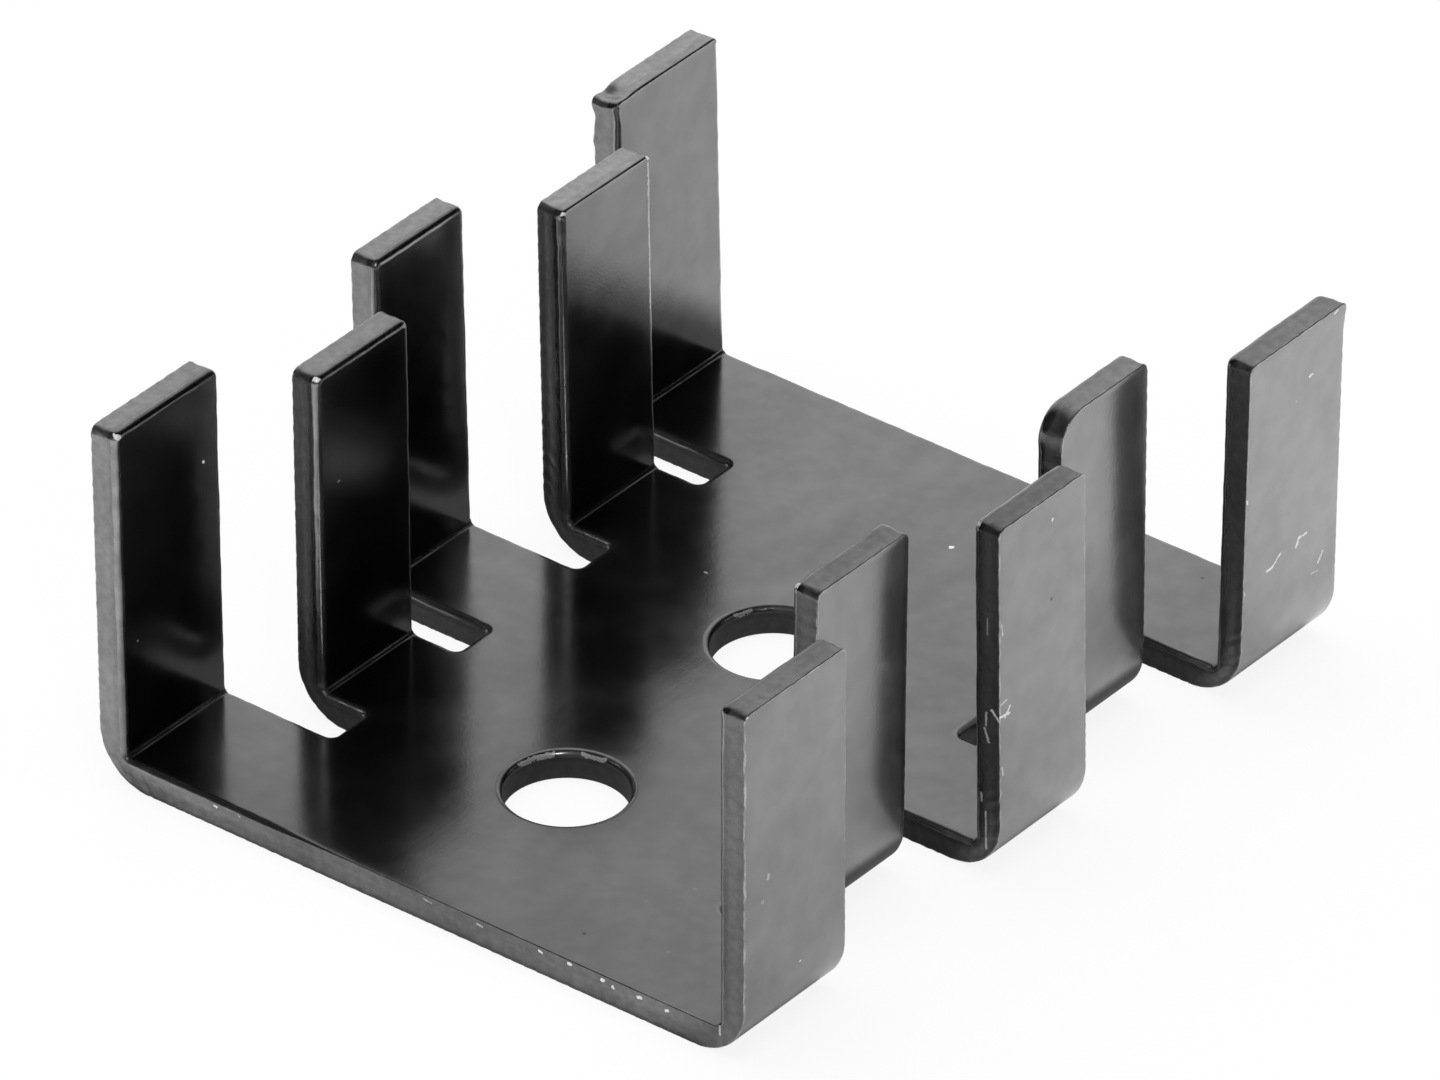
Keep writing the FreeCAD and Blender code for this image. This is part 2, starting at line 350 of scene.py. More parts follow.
    def clearance(self, points: np.ndarray) -> np.ndarray:
        """Distance from the nearest cut edge.

        Args:
            points: Places on the flat plane.

        Returns:
            One distance for each place, negative outside the metal.
        """
        sizes = self.sizes
        across, along = points[:, 0], points[:, 1]
        nearest = sizes.length / 2 - np.abs(along)
        for side in (Side.RIGHT, Side.LEFT):
            reach = side.value * across
            fins = sorted((f for f in self.fins if f.side is side), key=lambda f: f.front)
            for fin in fins:
                on_fin = (along > fin.front) & (along < fin.back) & (reach > 0)
                tip = self.zones(fin)[2]
                nearest = np.where(on_fin, np.minimum(nearest, tip - reach), nearest)
                ends = ((fin.front, fin.front_corner, 1), (fin.back, fin.back_corner, -1))
                for end, radius, way in ends:
                    past = np.column_stack([reach - (tip - radius), way * (end - along) + radius])
                    near = on_fin & (past > 0).all(axis=1)
                    arc = radius - np.linalg.norm(past, axis=1)
                    nearest = np.where(near, np.minimum(nearest, arc), nearest)
            for fin, following in zip(fins, fins[1:]):
                gap = np.maximum(fin.back - along, along - following.front)
                inside = np.maximum(gap, sizes.web_half_width - reach)
                outside = np.hypot(np.maximum(gap, 0.0), np.maximum(sizes.web_half_width - reach, 0.0))
                nearest = np.minimum(nearest, np.where(inside > 0, outside, inside))
        for centre in sizes.holes():
            rim = np.linalg.norm(points - np.array(centre), axis=1) - sizes.hole_radius
            nearest = np.minimum(nearest, rim)
        return nearest

    def inner_points(self) -> np.ndarray:
        """Grid of points inside the cut edges, finer over the folds.

        Returns:
            Places on the flat plane, clear of the rings that follow the edges.
        """
        sizes = self.sizes
        web = sizes.web_half_width
        stops = sorted({fin.front for fin in self.fins} | {fin.back for fin in self.fins})
        rows = [np.linspace(a, b, max(2, round((b - a) / self.grid)) + 1)[:-1]
                for a, b in zip(stops, stops[1:])]
        web_rows = np.concatenate(rows)
        web_lines = np.linspace(-web, web, round(2 * web / self.grid) + 1)
        blocks = [np.stack(np.meshgrid(web_lines, web_rows), axis=-1).reshape(-1, 2)]
        for fin in self.fins:
            lines = fin.side.value * self.lines_across(fin, self.grid)[1:]
            along = web_rows[(web_rows > fin.front) & (web_rows < fin.back)]
            blocks.append(np.stack(np.meshgrid(lines, along), axis=-1).reshape(-1, 2))
        points = np.vstack(blocks)
        inset = max(self.edge_roll, self.hole_roll) + self.margin + 0.35 * self.grid
        return points[self.clearance(points) > inset]


@dataclass
class Press:
    """Folds the flat blank: maps flat places and depth through the sheet to solid places."""

    blank: Blank
    catch_up_height: float = 4.0

    def fin_of(self, points: np.ndarray) -> np.ndarray:
        """Find the fin that each flat place belongs to, or is nearest to if it is on the web.

        Args:
            points: Places on the flat plane.

        Returns:
            Index of one fin for each place.
        """
        across, along = points[:, 0], points[:, 1]
        best = np.zeros(len(points), int)
        least = np.full(len(points), np.inf)
        for index, fin in enumerate(self.blank.fins):
            away = np.maximum(fin.front - along, along - fin.back)
            away = np.where(across * fin.side.value < 0, np.inf, away)
            nearer = away < least
            best[nearer] = index
            least[nearer] = away[nearer]
        return best

    def fold(self, points: np.ndarray, depth: np.ndarray) -> np.ndarray:
        """Fold flat places into shape.

        Each skin of the sheet runs straight over the web, round its own arc at the fold and
        straight up the fin. A place between the skins divides the line that joins them. The
        fin then leans about the inside of its fold by its own angle.

        Args:
            points: Flat places, across by along.
            depth: Place through the sheet, 0 on the underside and 1 on the upper skin.

        Returns:
            Places in millimetres, one row of X, Y, Z for each point.
        """
        sizes = self.blank.sizes
        reach = np.abs(points[:, 0])
        sign = np.where(points[:, 0] < 0, -1.0, 1.0)
        fin_index = self.fin_of(points)
        upper = np.column_stack([reach, np.full_like(reach, sizes.gauge)])
        under = np.column_stack([reach, np.zeros_like(reach)])
        for index, fin in enumerate(self.blank.fins):
            chosen = (fin_index == index) & (reach > sizes.web_half_width)
            upper[chosen], under[chosen] = self.fold_fin(fin, reach[chosen])
        middle = under + depth[:, None] * (upper - under)
        for index, fin in enumerate(self.blank.fins):
            chosen = (fin_index == index) & (reach > sizes.web_half_width)
            middle[chosen] = self.lean_fin(fin, reach[chosen], middle[chosen])
        return np.column_stack([sign * middle[:, 0], points[:, 1], middle[:, 1]])

    def fold_fin(self, fin: Fin, reach: np.ndarray) -> tuple[np.ndarray, np.ndarray]:
        """Run both skins of one fin round its fold and up.

        The under skin's arc is the larger one, so it starts further in on the web and ends
        higher up the fin. The difference fades out over the web and over the fin's lower part.

        Args:
            fin: The fin.
            reach: Flat distances from the middle of the blank.

        Returns:
            Distance from the middle plane and height on the upper and under skins.
        """
        sizes = self.blank.sizes
        outer = fin.outer_face(sizes)
        fold_start, fold_end, _ = self.blank.zones(fin)
        turn = np.clip((reach - fold_start) / self.blank.fold_length, 0.0, 1.0) * math.pi / 2
        rise = np.maximum(reach - fold_end, 0.0)
        flat = np.minimum(reach, fold_start)
        inner_start = outer - sizes.gauge - sizes.inside_bend
        upper = np.column_stack([
            np.where(turn > 0, inner_start + sizes.inside_bend * np.sin(turn), flat),
            sizes.gauge + sizes.inside_bend * (1 - np.cos(turn)) + rise,
        ])
        lag = inner_start - (outer - fin.outside_bend)
        share = (flat - sizes.web_half_width) / (fold_start - sizes.web_half_width)
        bend_height = sizes.gauge + sizes.inside_bend
        catch_up = (fin.outside_bend - bend_height) * (1 - smooth_step(rise / self.catch_up_height))
        under = np.column_stack([
            np.where(turn > 0, outer - fin.outside_bend * (1 - np.sin(turn)), flat - lag * share ** 2),
            np.where(rise > 0, bend_height + rise + catch_up, fin.outside_bend * (1 - np.cos(turn))),
        ])
        return upper, under

    def lean_fin(self, fin: Fin, reach: np.ndarray, places: np.ndarray) -> np.ndarray:
        """Turn a fin outwards about the inside of its fold, fully once past the fold.

        Args:
            fin: The fin.
            reach: Flat distance of each place.
            places: Distance from the middle plane and height of each place.

        Returns:
            The places turned.
        """
        sizes = self.blank.sizes
        fold_start = self.blank.zones(fin)[0]
        pivot = np.array([fin.outer_face(sizes) - sizes.gauge, sizes.gauge])
        angle = math.radians(fin.lean) * smooth_step((reach - fold_start) / self.blank.fold_length)
        arm = places - pivot
        cosine, sine = np.cos(angle), np.sin(angle)
        turned = np.column_stack([
            arm[:, 0] * cosine + arm[:, 1] * sine,
            arm[:, 1] * cosine - arm[:, 0] * sine,
        ])
        return pivot + turned


@dataclass
class SheetMesh:
    """Collects the points, faces and painted values of the folded sheet."""

    flat: list[np.ndarray] = field(default_factory=list)
    depth: list[np.ndarray] = field(default_factory=list)
    rim: list[np.ndarray] = field(default_factory=list)
    dye_and_painted_light: list[np.ndarray] = field(default_factory=list)
    faces: list[np.ndarray] = field(default_factory=list)
    kinds: list[np.ndarray] = field(default_factory=list)
    count: int = 0

    def add_points(self, flat: np.ndarray, depth: np.ndarray, rim: np.ndarray,
                   dye_and_painted_light: np.ndarray) -> np.ndarray:
        """Add points.

        Args:
            flat: Places on the flat plane.
            depth: Place through the sheet, 0 on the underside and 1 on the upper skin.
            rim: Nearness to a cut edge, 1 at the edge.
            dye_and_painted_light: How light the metal is: the dyeing with painted light and painted shade.

        Returns:
            The numbers of the points.
        """
        self.flat.append(flat)
        self.depth.append(depth)
        self.rim.append(rim)
        self.dye_and_painted_light.append(dye_and_painted_light)
        numbers = np.arange(self.count, self.count + len(flat))
        self.count += len(flat)
        return numbers

    def add_faces(self, faces: np.ndarray, kind: Skin) -> None:
        """Add triangles or quads of one kind of surface."""
        self.faces.append(faces)
        self.kinds.append(np.full(len(faces), kind.value))


def write_mesh(name: str, points: np.ndarray, faces: list[np.ndarray],
               kinds: list[np.ndarray]) -> bpy.types.Object:
    """Put whole arrays of points and faces into a new smooth-shaded object.

    Args:
        name: Name of the object and of its mesh.
        points: Places in metres.
        faces: Arrays of triangles and of quads, as point numbers.
        kinds: Material index of each face, one array for each array of faces.

    Returns:
        The object, linked to the scene.
    """
    mesh = bpy.data.meshes.new(name)
    corners = np.concatenate([block.ravel() for block in faces]).astype(np.int32)
    totals = np.concatenate([np.full(len(block), block.shape[1]) for block in faces]).astype(np.int32)
    starts = np.concatenate([[0], np.cumsum(totals)[:-1]]).astype(np.int32)
    mesh.vertices.add(len(points))
    mesh.vertices.foreach_set("co", points.astype(np.float32).ravel())
    mesh.loops.add(len(corners))
    mesh.loops.foreach_set("vertex_index", corners)
    mesh.polygons.add(len(totals))
    mesh.polygons.foreach_set("loop_start", starts)
    mesh.polygons.foreach_set("material_index", np.concatenate(kinds).astype(np.int32))
    mesh.polygons.foreach_set("use_smooth", np.ones(len(totals), bool))
    mesh.update(calc_edges=True)
    mesh.validate()
    piece = bpy.data.objects.new(name, mesh)
    bpy.context.scene.collection.objects.link(piece)
    return piece


@dataclass
class HeatSink:
    """The folded sheet as one closed mesh with the values that its finishes need.

    The rolls, the chatter, the tear and the roughness shape the cut edges, and each wave is the
    length of the longest ripple in one of them. A cut's tone factor says how light it is, where 1
    leaves the finish as it is; it holds painted shade on the hole walls and slot ends, painted
    light along the web's front and on the fins' tips and fronts, and the dyeing. The losses say
    how much of the roll-over is gone in two places.
    """

    sizes: SheetSizes
    wall_steps: int = 7
    roll_steps: int = 5
    burr_steps: int = 3
    burr_roll: float = 0.035
    roll_wander: float = 0.12
    roll_wave: float = 5.0
    chatter: float = 0.014
    chatter_wave: float = 0.6
    tear: float = 0.022
    tear_share: float = 0.6
    rough: float = 0.008
    rough_wave: float = 0.8
    rim_reach: float = 0.25
    # Painted shade on the hole walls and slot ends, and painted light along the web's front edge.
    hole_painted_shade: float = 0.8
    slot_painted_shade: float = 0.8
    web_front_painted_light: tuple[float, ...] = (1.2, 1.8, 1.85, 0.8)
    fin_corner: float = 0.3
    worn_corner: float = 1.1
    web_reach: float = 13.0
    tip_reach: float = 20.0
    last_two_from: float = 3.5
    keen_from: float = -7.0
    keen_run: float = 5.0
    web_loss: float = 0.8
    tip_loss: float = 0.6
    crease_reach: float = 0.4
    stretch_reach: float = 0.6
    web_edge: float = 1.5
    end_fin_edge: float = 4.5
    slot_edge: float = 0.4
    uv_unit: float = 10.0

    def make_fins(self) -> list[Fin]:
        """Make the ten fins, each with its own way out of the press.

        A row of the table holds the outside bend, the lean in degrees, the growth of the tip,
        what was trimmed off the front and back edges, and how light the tip and front edge are,
        painted light along with the dyeing.

        Returns:
            The fins of the left side and then of the right, each from front to back.
        """
        sizes = self.sizes
        # The last two columns are tones of the tip and front edge: painted light along with the dyeing.
        table = {
            Side.LEFT: (
                (1.9, 0.5, 0.16, (0.0, 0.06), 1.85, 1.2),
                (1.9, 0.35, -0.11, (0.0, 0.0), 1.78, 0.72),
                (1.9, 1.1, 0.07, (0.0, 0.1), 1.75, 0.95),
                (1.9, 1.0, -0.11, (0.0, 0.0), 2.05, 0.7),
                (1.9, 1.4, 0.03, (-0.05, -0.1), 1.85, 0.8),
            ),
            Side.RIGHT: (
                (1.95, 0.0, 0.0, (0.0, 0.05), 1.28, 0.8),
                (1.75, 0.5, 0.0, (0.0, 0.0), 1.22, 0.6),
                (1.95, -0.9, 0.0, (0.0, 0.15), 1.0, 0.5),
                (1.8, -0.15, -0.1, (0.12, 0.0), 1.42, 0.5),
                (2.0, 0.8, -0.14, (0.1, 0.06), 1.22, 0.55),
            ),
        }
        widths = [sizes.end_fin] + [sizes.middle_fin] * 3 + [sizes.end_fin]
        fins = []
        for side in Side:
            front = -sizes.length / 2
            for place, (width, row) in enumerate(zip(widths, table[side])):
                bend, lean, growth, (front_trim, back_trim), tip_dye_and_painted_light, front_dye_and_painted_light = row
                is_worn = side is Side.RIGHT and place == 3
                fins.append(Fin(
                    side=side,
                    row=Row.INNER if place % 2 else Row.OUTER,
                    front=front + front_trim,
                    back=front + width - back_trim,
                    outside_bend=bend,
                    lean=lean,
                    growth=growth,
                    tip_dye_and_painted_light=tip_dye_and_painted_light,
                    front_dye_and_painted_light=front_dye_and_painted_light,
                    front_corner=self.worn_corner if is_worn else self.fin_corner,
                    back_corner=self.fin_corner,
                ))
                front += width + sizes.slot
        return fins

    def build(self) -> bpy.types.Object:
        """Make the whole sheet.

        Returns:
            The object, folded and painted but without materials.
        """
        blank = Blank(self.sizes, self.make_fins())
        press = Press(blank)
        loops = [blank.outline()] + [blank.hole(centre) for centre in self.sizes.holes()]
        inner = blank.inner_points()
        rings = [loop.offset(loop.roll + blank.margin) for loop in loops]
        flat = np.vstack([inner] + rings)
        triangles = self.triangulate(flat, [len(ring) for ring in rings], len(inner))
        sheet = SheetMesh()
        rim = np.exp(-np.maximum(blank.clearance(flat), 0.0) / self.rim_reach)
        even = np.ones(len(flat))
        upper = sheet.add_points(flat, even, rim, even)
        under = sheet.add_points(flat, 0 * even, rim, even)
        sheet.add_faces(upper[triangles], Skin.ROLLED)
        sheet.add_faces(under[triangles[:, ::-1]], Skin.ROLLED)
        start = len(inner)
        for number, (loop, ring) in enumerate(zip(loops, rings)):
            place = np.arange(start, start + len(ring))
            dye_and_painted_light = self.cut_dye_and_painted_light(loop, press)
            self.add_edge_band(sheet, loop, dye_and_painted_light, upper[place], under[place], 11 + 7 * number)
            start += len(ring)
        points = press.fold(np.vstack(sheet.flat), np.concatenate(sheet.depth))
        points = self.knock(points)
        piece = write_mesh("heat_sink_sheet", points * MM, sheet.faces, sheet.kinds)
        self.paint(piece, sheet, blank)
        return piece

    def triangulate(self, flat: np.ndarray, ring_sizes: list[int], start: int) -> np.ndarray:
        """Join flat points into triangles inside the outline and outside the holes.

        The holes are round, so a triangle that has all its corners on one rim lies in a hole.

        Args:
            flat: Points on the flat plane; those of the rings come last, the outline's first.
            ring_sizes: Number of points on each ring.
            start: Number of the first ring's first point.

        Returns:
            Three point numbers for each triangle, anticlockwise.
        """
        edges = []
        ring_of = np.full(len(flat), -1)
        for number, size in enumerate(ring_sizes):
            ring = np.arange(start, start + size)
            ring_of[ring] = number
            edges.append(np.column_stack([ring, np.roll(ring, -1)]))
            start += size
        result = delaunay_2d_cdt(flat.tolist(), np.vstack(edges).tolist(), [], 1, 1e-7)
        source = np.array([found[0] for found in result[3]])
        triangles = source[np.array(result[2])]
        belongs = ring_of[triangles]
        in_hole = (belongs[:, 0] > 0) & (belongs == belongs[:, :1]).all(axis=1)
        kept = triangles[~in_hole]
        a, b, c = (flat[kept[:, corner]] for corner in range(3))
        turn = (b - a)[:, 0] * (c - a)[:, 1] - (b - a)[:, 1] * (c - a)[:, 0]
        kept[turn < 0] = kept[turn < 0][:, ::-1]
        return kept

    def keenness(self, loop: Loop) -> np.ndarray:
        """Share of the full roll-over along an edge.

        It is small on the right part of the front of the web and on the tips of the last two
        left fins.

        Args:
            loop: The edge.

        Returns:
            One share for each point of the loop.
        """
        across, along = loop.points[:, 0], loop.points[:, 1]
        is_front = along < -self.sizes.length / 2 + 0.01
        front_of_web = is_front & (np.abs(across) < self.web_reach)
        tips = (loop.inward[:, 0] > 0.5) & (across < -self.tip_reach) & (along > self.last_two_from)
        to_right = smooth_step((across - self.keen_from) / self.keen_run)
        return (1 - self.web_loss * to_right * front_of_web) * (1 - self.tip_loss * tips)

    def edge_profile(self, loop: Loop, seed: int) -> list[tuple[np.ndarray, np.ndarray]]:
        """Section through a cut edge, from the underside to the upper skin.

        A small arc turns up from the underside, a sheared wall rises with a shallow hollow in
        its torn lower part, and a larger arc rolls over on to the upper skin. The radius of
        that arc wanders along the edge.

        Args:
            loop: The edge.
            seed: Seed of the wander.

        Returns:
            Rows of inset and depth, each an array with one value for each point of the loop.
        """
        travel = loop.travel
        ragged = 0.0 if loop.is_hole else 1.0
        wander = ragged * self.roll_wander * np.clip(ripple(travel, seed, self.roll_wave), -1, 1)
        chatter = ragged * self.chatter * np.clip(ripple(travel, seed + 4, self.chatter_wave), -1, 1)
        roll = loop.roll * (1 + wander) * self.keenness(loop)
        burr = np.full_like(travel, self.burr_roll)
        gauge = self.sizes.gauge
        rows = []
        for turn in np.linspace(0.0, math.pi / 2, self.burr_steps + 1):
            rows.append((burr * (1 - math.sin(turn)) + chatter, burr / gauge * (1 - math.cos(turn))))
        low, high = burr / gauge, 1 - roll / gauge
        for step in range(1, self.wall_steps):
            share = step / self.wall_steps
            tear = self.tear * math.sin(math.pi * min(1.0, share / self.tear_share))
            rough = self.rough * ripple(travel, seed + 10 + step, self.rough_wave) * math.sin(math.pi * share)
            inset = ragged * (tear + rough) + chatter * (1 - share)
            rows.append((inset, low + share * (high - low)))
        for turn in np.linspace(0.0, math.pi / 2, self.roll_steps + 1):
            rows.append((roll * (1 - math.cos(turn)), 1 - roll / gauge * (1 - math.sin(turn))))
        return rows

    def cut_dye_and_painted_light(self, loop: Loop, press: Press) -> np.ndarray:
        """How light each point of a cut edge is: the dyeing together with painted light and shade.

        A fin's tip and its front edge have values of their own, painted light along with the dyeing,
        and blend over the corner between them. The front of the web is lightened by painted light
        and eases over the folds to the edges of the two end fins. The walls of the holes and the
        closed ends of the slots are darker with painted shade.

        Args:
            loop: The edge.
            press: Press that knows which fin a point belongs to.

        Returns:
            One value for each point of the loop, where 1 leaves the finish as it is.
        """
        # Painted shade on the walls of the holes.
        if loop.is_hole:
            return np.full(len(loop.points), self.hole_painted_shade)
        fins = press.blank.fins
        chosen = press.fin_of(loop.points)
        across = loop.inward[:, 0] ** 2
        # Tip and front tones: painted light along with the dyeing.
        tip = np.array([fin.tip_dye_and_painted_light for fin in fins])[chosen]
        front = np.array([fin.front_dye_and_painted_light for fin in fins])[chosen]
        dye_and_painted_light = across * tip + (1 - across) * np.where(loop.inward[:, 1] > 0, front, 1.0)
        reach = np.abs(loop.points[:, 0])
        web = self.sizes.web_half_width
        near, far = web + self.web_edge, web + self.end_fin_edge
        on_web = (reach < far) & (across < 0.5) & (loop.inward[:, 1] > 0)
        # Painted light along the front of the web.
        along_front = np.interp(loop.points[:, 0], [-far, -near, near, far], self.web_front_painted_light)
        is_front = loop.points[:, 1] < -self.sizes.length / 2 + 0.1
        dye_and_painted_light = np.where(on_web & is_front, along_front, dye_and_painted_light)
        # Painted shade on the closed ends of the slots.
        return np.where((reach < web + self.slot_edge) & (across > 0.5), self.slot_painted_shade, dye_and_painted_light)

    def add_edge_band(self, sheet: SheetMesh, loop: Loop, dye_and_painted_light: np.ndarray, upper: np.ndarray,
                      under: np.ndarray, seed: int) -> None:
        """Carry the edge's section round a loop and join it to both skins.

        Args:
            sheet: Mesh that takes the points and faces.
            loop: The edge.
            dye_and_painted_light: How light each point of the edge is.
            upper: Numbers of the upper skin's ring of points.
            under: Numbers of the under skin's ring of points.
            seed: Seed of the section's wander.
        """
        ring_count = len(upper)
        rows = [under]
        for inset, depth in self.edge_profile(loop, seed):
            depth = np.broadcast_to(depth, (ring_count,))
            rows.append(sheet.add_points(loop.offset(inset), depth, np.ones(ring_count), dye_and_painted_light))
        rows.append(upper)
        last_wall = len(rows) - 2 - self.roll_steps
        for number, (below, above) in enumerate(zip(rows, rows[1:])):
            quads = np.column_stack([below, np.roll(below, -1), np.roll(above, -1), above])
            sheared = self.burr_steps <= number < last_wall
            sheet.add_faces(quads, Skin.SHEARED if sheared else Skin.ROLLED)

    def knock(self, points: np.ndarray) -> np.ndarray:
        """Apply the blows that this part has taken.

        The first four crush the front corner of the last left fin's tip, and the fifth flares
        the back corner of the last right fin's.

        Args:
            points: Places in millimetres.

        Returns:
            The places with the metal moved.
        """
        half = self.sizes.width / 2
        top = self.sizes.height
        back_fin = self.sizes.length / 2 - self.sizes.end_fin
        blows = [
            Blow((-half, back_fin, top), (0.7, 0.8, 0.5), (-0.08, -0.06, -0.2)),
            Blow((-half, back_fin + 0.5, top), (0.5, 0.22, 0.4), (0.0, 0.0, -0.16)),
            Blow((-half, back_fin, top - 0.9), (0.5, 0.3, 0.3), (0.04, 0.04, 0.0)),
            Blow((-half, back_fin, top - 1.7), (0.5, 0.3, 0.25), (-0.04, -0.03, 0.0)),
            Blow((half, self.sizes.length / 2, top - 0.15), (0.7, 0.5, 0.6), (0.0, 0.17, 0.03)),
        ]
        for blow in blows:
            points = blow.move(points)
        return points

    def paint(self, piece: bpy.types.Object, sheet: SheetMesh, blank: Blank) -> None:
        """Store what the finishes need: nearness to a cut edge, depth, folds, flat places.

        Args:
            piece: Object of the sheet.
            sheet: What its mesh was made from.
            blank: The flat sheet.
        """
        flat = np.vstack(sheet.flat)
        depth = np.concatenate(sheet.depth)
        reach = np.abs(flat[:, 0])
        fins = Press(blank).fin_of(flat)
        start = np.array([blank.zones(fin)[0] for fin in blank.fins])[fins]
        from_fold = reach - start - blank.fold_length / 2
        crease_width = self.crease_reach * blank.fold_length
        stretch_width = self.stretch_reach * blank.fold_length
        crease = np.exp(-(from_fold / crease_width) ** 2) * (depth > 0.5)
        stretch = np.exp(-(from_fold / stretch_width) ** 2) * (depth < 0.5)
        layers = {
            "rim": np.concatenate(sheet.rim),
            "depth": depth,
            "crease": crease,
            "stretch": stretch,
            "dye_and_painted_light": np.concatenate(sheet.dye_and_painted_light),
        }
        for name, values in layers.items():
            layer = piece.data.attributes.new(name, "FLOAT", "POINT")
            layer.data.foreach_set("value", values.astype(np.float32))
        corner_points = np.zeros(len(piece.data.loops), np.int32)
        piece.data.loops.foreach_get("vertex_index", corner_points)
        uv = piece.data.uv_layers.new(name="flat_blank")
        uv.data.foreach_set("uv", (flat[corner_points] / self.uv_unit).astype(np.float32).ravel())


@dataclass
class Wiring:
    """A node tree under construction."""

    tree: Tree

    def node(self, kind: str, **settings: object) -> Node:
        """Add a node and set its own options."""
        made = self.tree.nodes.new("ShaderNode" + kind)
        for name, value in settings.items():
            setattr(made, name, value)
        return made

    def feed(self, socket: Socket, source: object) -> None:
        """Link a socket to another, or set it to a plain value."""
        if isinstance(source, Socket):
            self.tree.links.new(source, socket)
        else:
            socket.default_value = source

    def math(self, operation: str, *sources: object) -> Socket:
        """Work out a sum on plain values or sockets."""
        made = self.node("Math", operation=operation)
        for socket, source in zip(made.inputs, sources):
            self.feed(socket, source)
        return made.outputs[0]

    def chain(self, operation: str, *sources: object) -> Socket:
        """Join several plain values or sockets by one operation, from first to last."""
        total = sources[0]
        for source in sources[1:]:
            total = self.math(operation, total, source)
        return total

    def ramp(self, source: object, low: float, high: float, start: float = 0.0,
             end: float = 1.0) -> Socket:
        """Map the range low to high on to start to end, smoothly and clipped."""
        made = self.node("MapRange", interpolation_type="SMOOTHSTEP")
        for socket, value in zip(made.inputs, (source, low, high, start, end)):
            self.feed(socket, value)
        return made.outputs[0]

    def noise(self, vector: object, scale: object, detail: float = 3.0,
              rough: float = 0.55) -> Socket:
        """Plain noise value at a place."""
        made = self.node("TexNoise")
        for name, source in (("Vector", vector), ("Scale", scale), ("Detail", detail), ("Roughness", rough)):
            self.feed(made.inputs[name], source)
        return made.outputs["Fac"]

    def stretch(self, vector: object, factors: tuple[float, float, float],
                turn: float = 0.0) -> Socket:
        """Scale a place along each axis, with a turn about Z.

        Args:
            vector: The place.
            factors: Scale along each axis.
            turn: The turn in degrees.

        Returns:
            The place that results.
        """
        made = self.node("Mapping")
        self.feed(made.inputs["Vector"], vector)
        made.inputs["Scale"].default_value = factors
        made.inputs["Rotation"].default_value = (0.0, 0.0, math.radians(turn))
        return made.outputs[0]

    def mix(self, share: object, first: object, second: object) -> Socket:
        """Mix two plain values or sockets."""
        made = self.node("Mix", data_type="FLOAT")
        for socket, source in zip((made.inputs[0], made.inputs[2], made.inputs[3]), (share, first, second)):
            self.feed(socket, source)
        return made.outputs[0]

    def toward(self, direction: object, axis: tuple[float, float, float]) -> Socket:
        """Length of a direction along an axis."""
        made = self.node("VectorMath", operation="DOT_PRODUCT")
        self.feed(made.inputs[0], direction)
        made.inputs[1].default_value = axis
        return made.outputs["Value"]

    def bump(self, height: Socket, strength: float, distance: float) -> Socket:
        """Normal bent by a height."""
        made = self.node("Bump")
        made.inputs["Strength"].default_value = strength
        made.inputs["Distance"].default_value = distance
        self.feed(made.inputs["Height"], height)
        return made.outputs[0]

    def attribute(self, name: str) -> Socket:
        """Read one of the sheet's painted values."""
        return self.node("Attribute", attribute_name=name).outputs["Fac"]


def new_group(name: str, inputs: dict[str, object],
              outputs: tuple[str, ...] = ("Mask",)) -> tuple[Wiring, Node, Node]:
    """Start a shader group.

    Args:
        name: Name of the group.
        inputs: Default value of each input; None makes it a vector.
        outputs: Names of its float outputs.

    Returns:
        The wiring, the group's input node and its output node.
    """
    tree = bpy.data.node_groups.new(name, "ShaderNodeTree")
    for label, value in inputs.items():
        kind = "NodeSocketVector" if value is None else "NodeSocketFloat"
        socket = tree.interface.new_socket(label, in_out="INPUT", socket_type=kind)
        if value is not None:
            socket.default_value = value
    for label in outputs:
        tree.interface.new_socket(label, in_out="OUTPUT", socket_type="NodeSocketFloat")
    wiring = Wiring(tree)
    return wiring, tree.nodes.new("NodeGroupInput"), tree.nodes.new("NodeGroupOutput")


def grain_group() -> Tree:
    """Rolled and anodised grain: fine pits with faint lines along the sheet.

    Returns:
        A group with a place and a scale, which gives a height and a slow cloud.
    """
    wiring, source, result = new_group(
        "anodised_grain", {"Place": None, "Scale": 1.0}, ("Height", "Cloud"))
    place, scale = source.outputs["Place"], source.outputs["Scale"]
    along_sheet = wiring.stretch(place, (6.0, 0.35, 6.0))
    pits = wiring.noise(place, wiring.math("MULTIPLY", scale, 9000.0), 2.0, 0.6)
    lines = wiring.noise(along_sheet, wiring.math("MULTIPLY", scale, 700.0), 2.0)
    cloud = wiring.noise(place, wiring.math("MULTIPLY", scale, 260.0), 3.0, 0.6)
    height = wiring.math("ADD", wiring.math("MULTIPLY", pits, 0.6), wiring.math("MULTIPLY", lines, 0.4))
    wiring.feed(result.inputs["Height"], height)
    wiring.feed(result.inputs["Cloud"], cloud)
    return wiring.tree


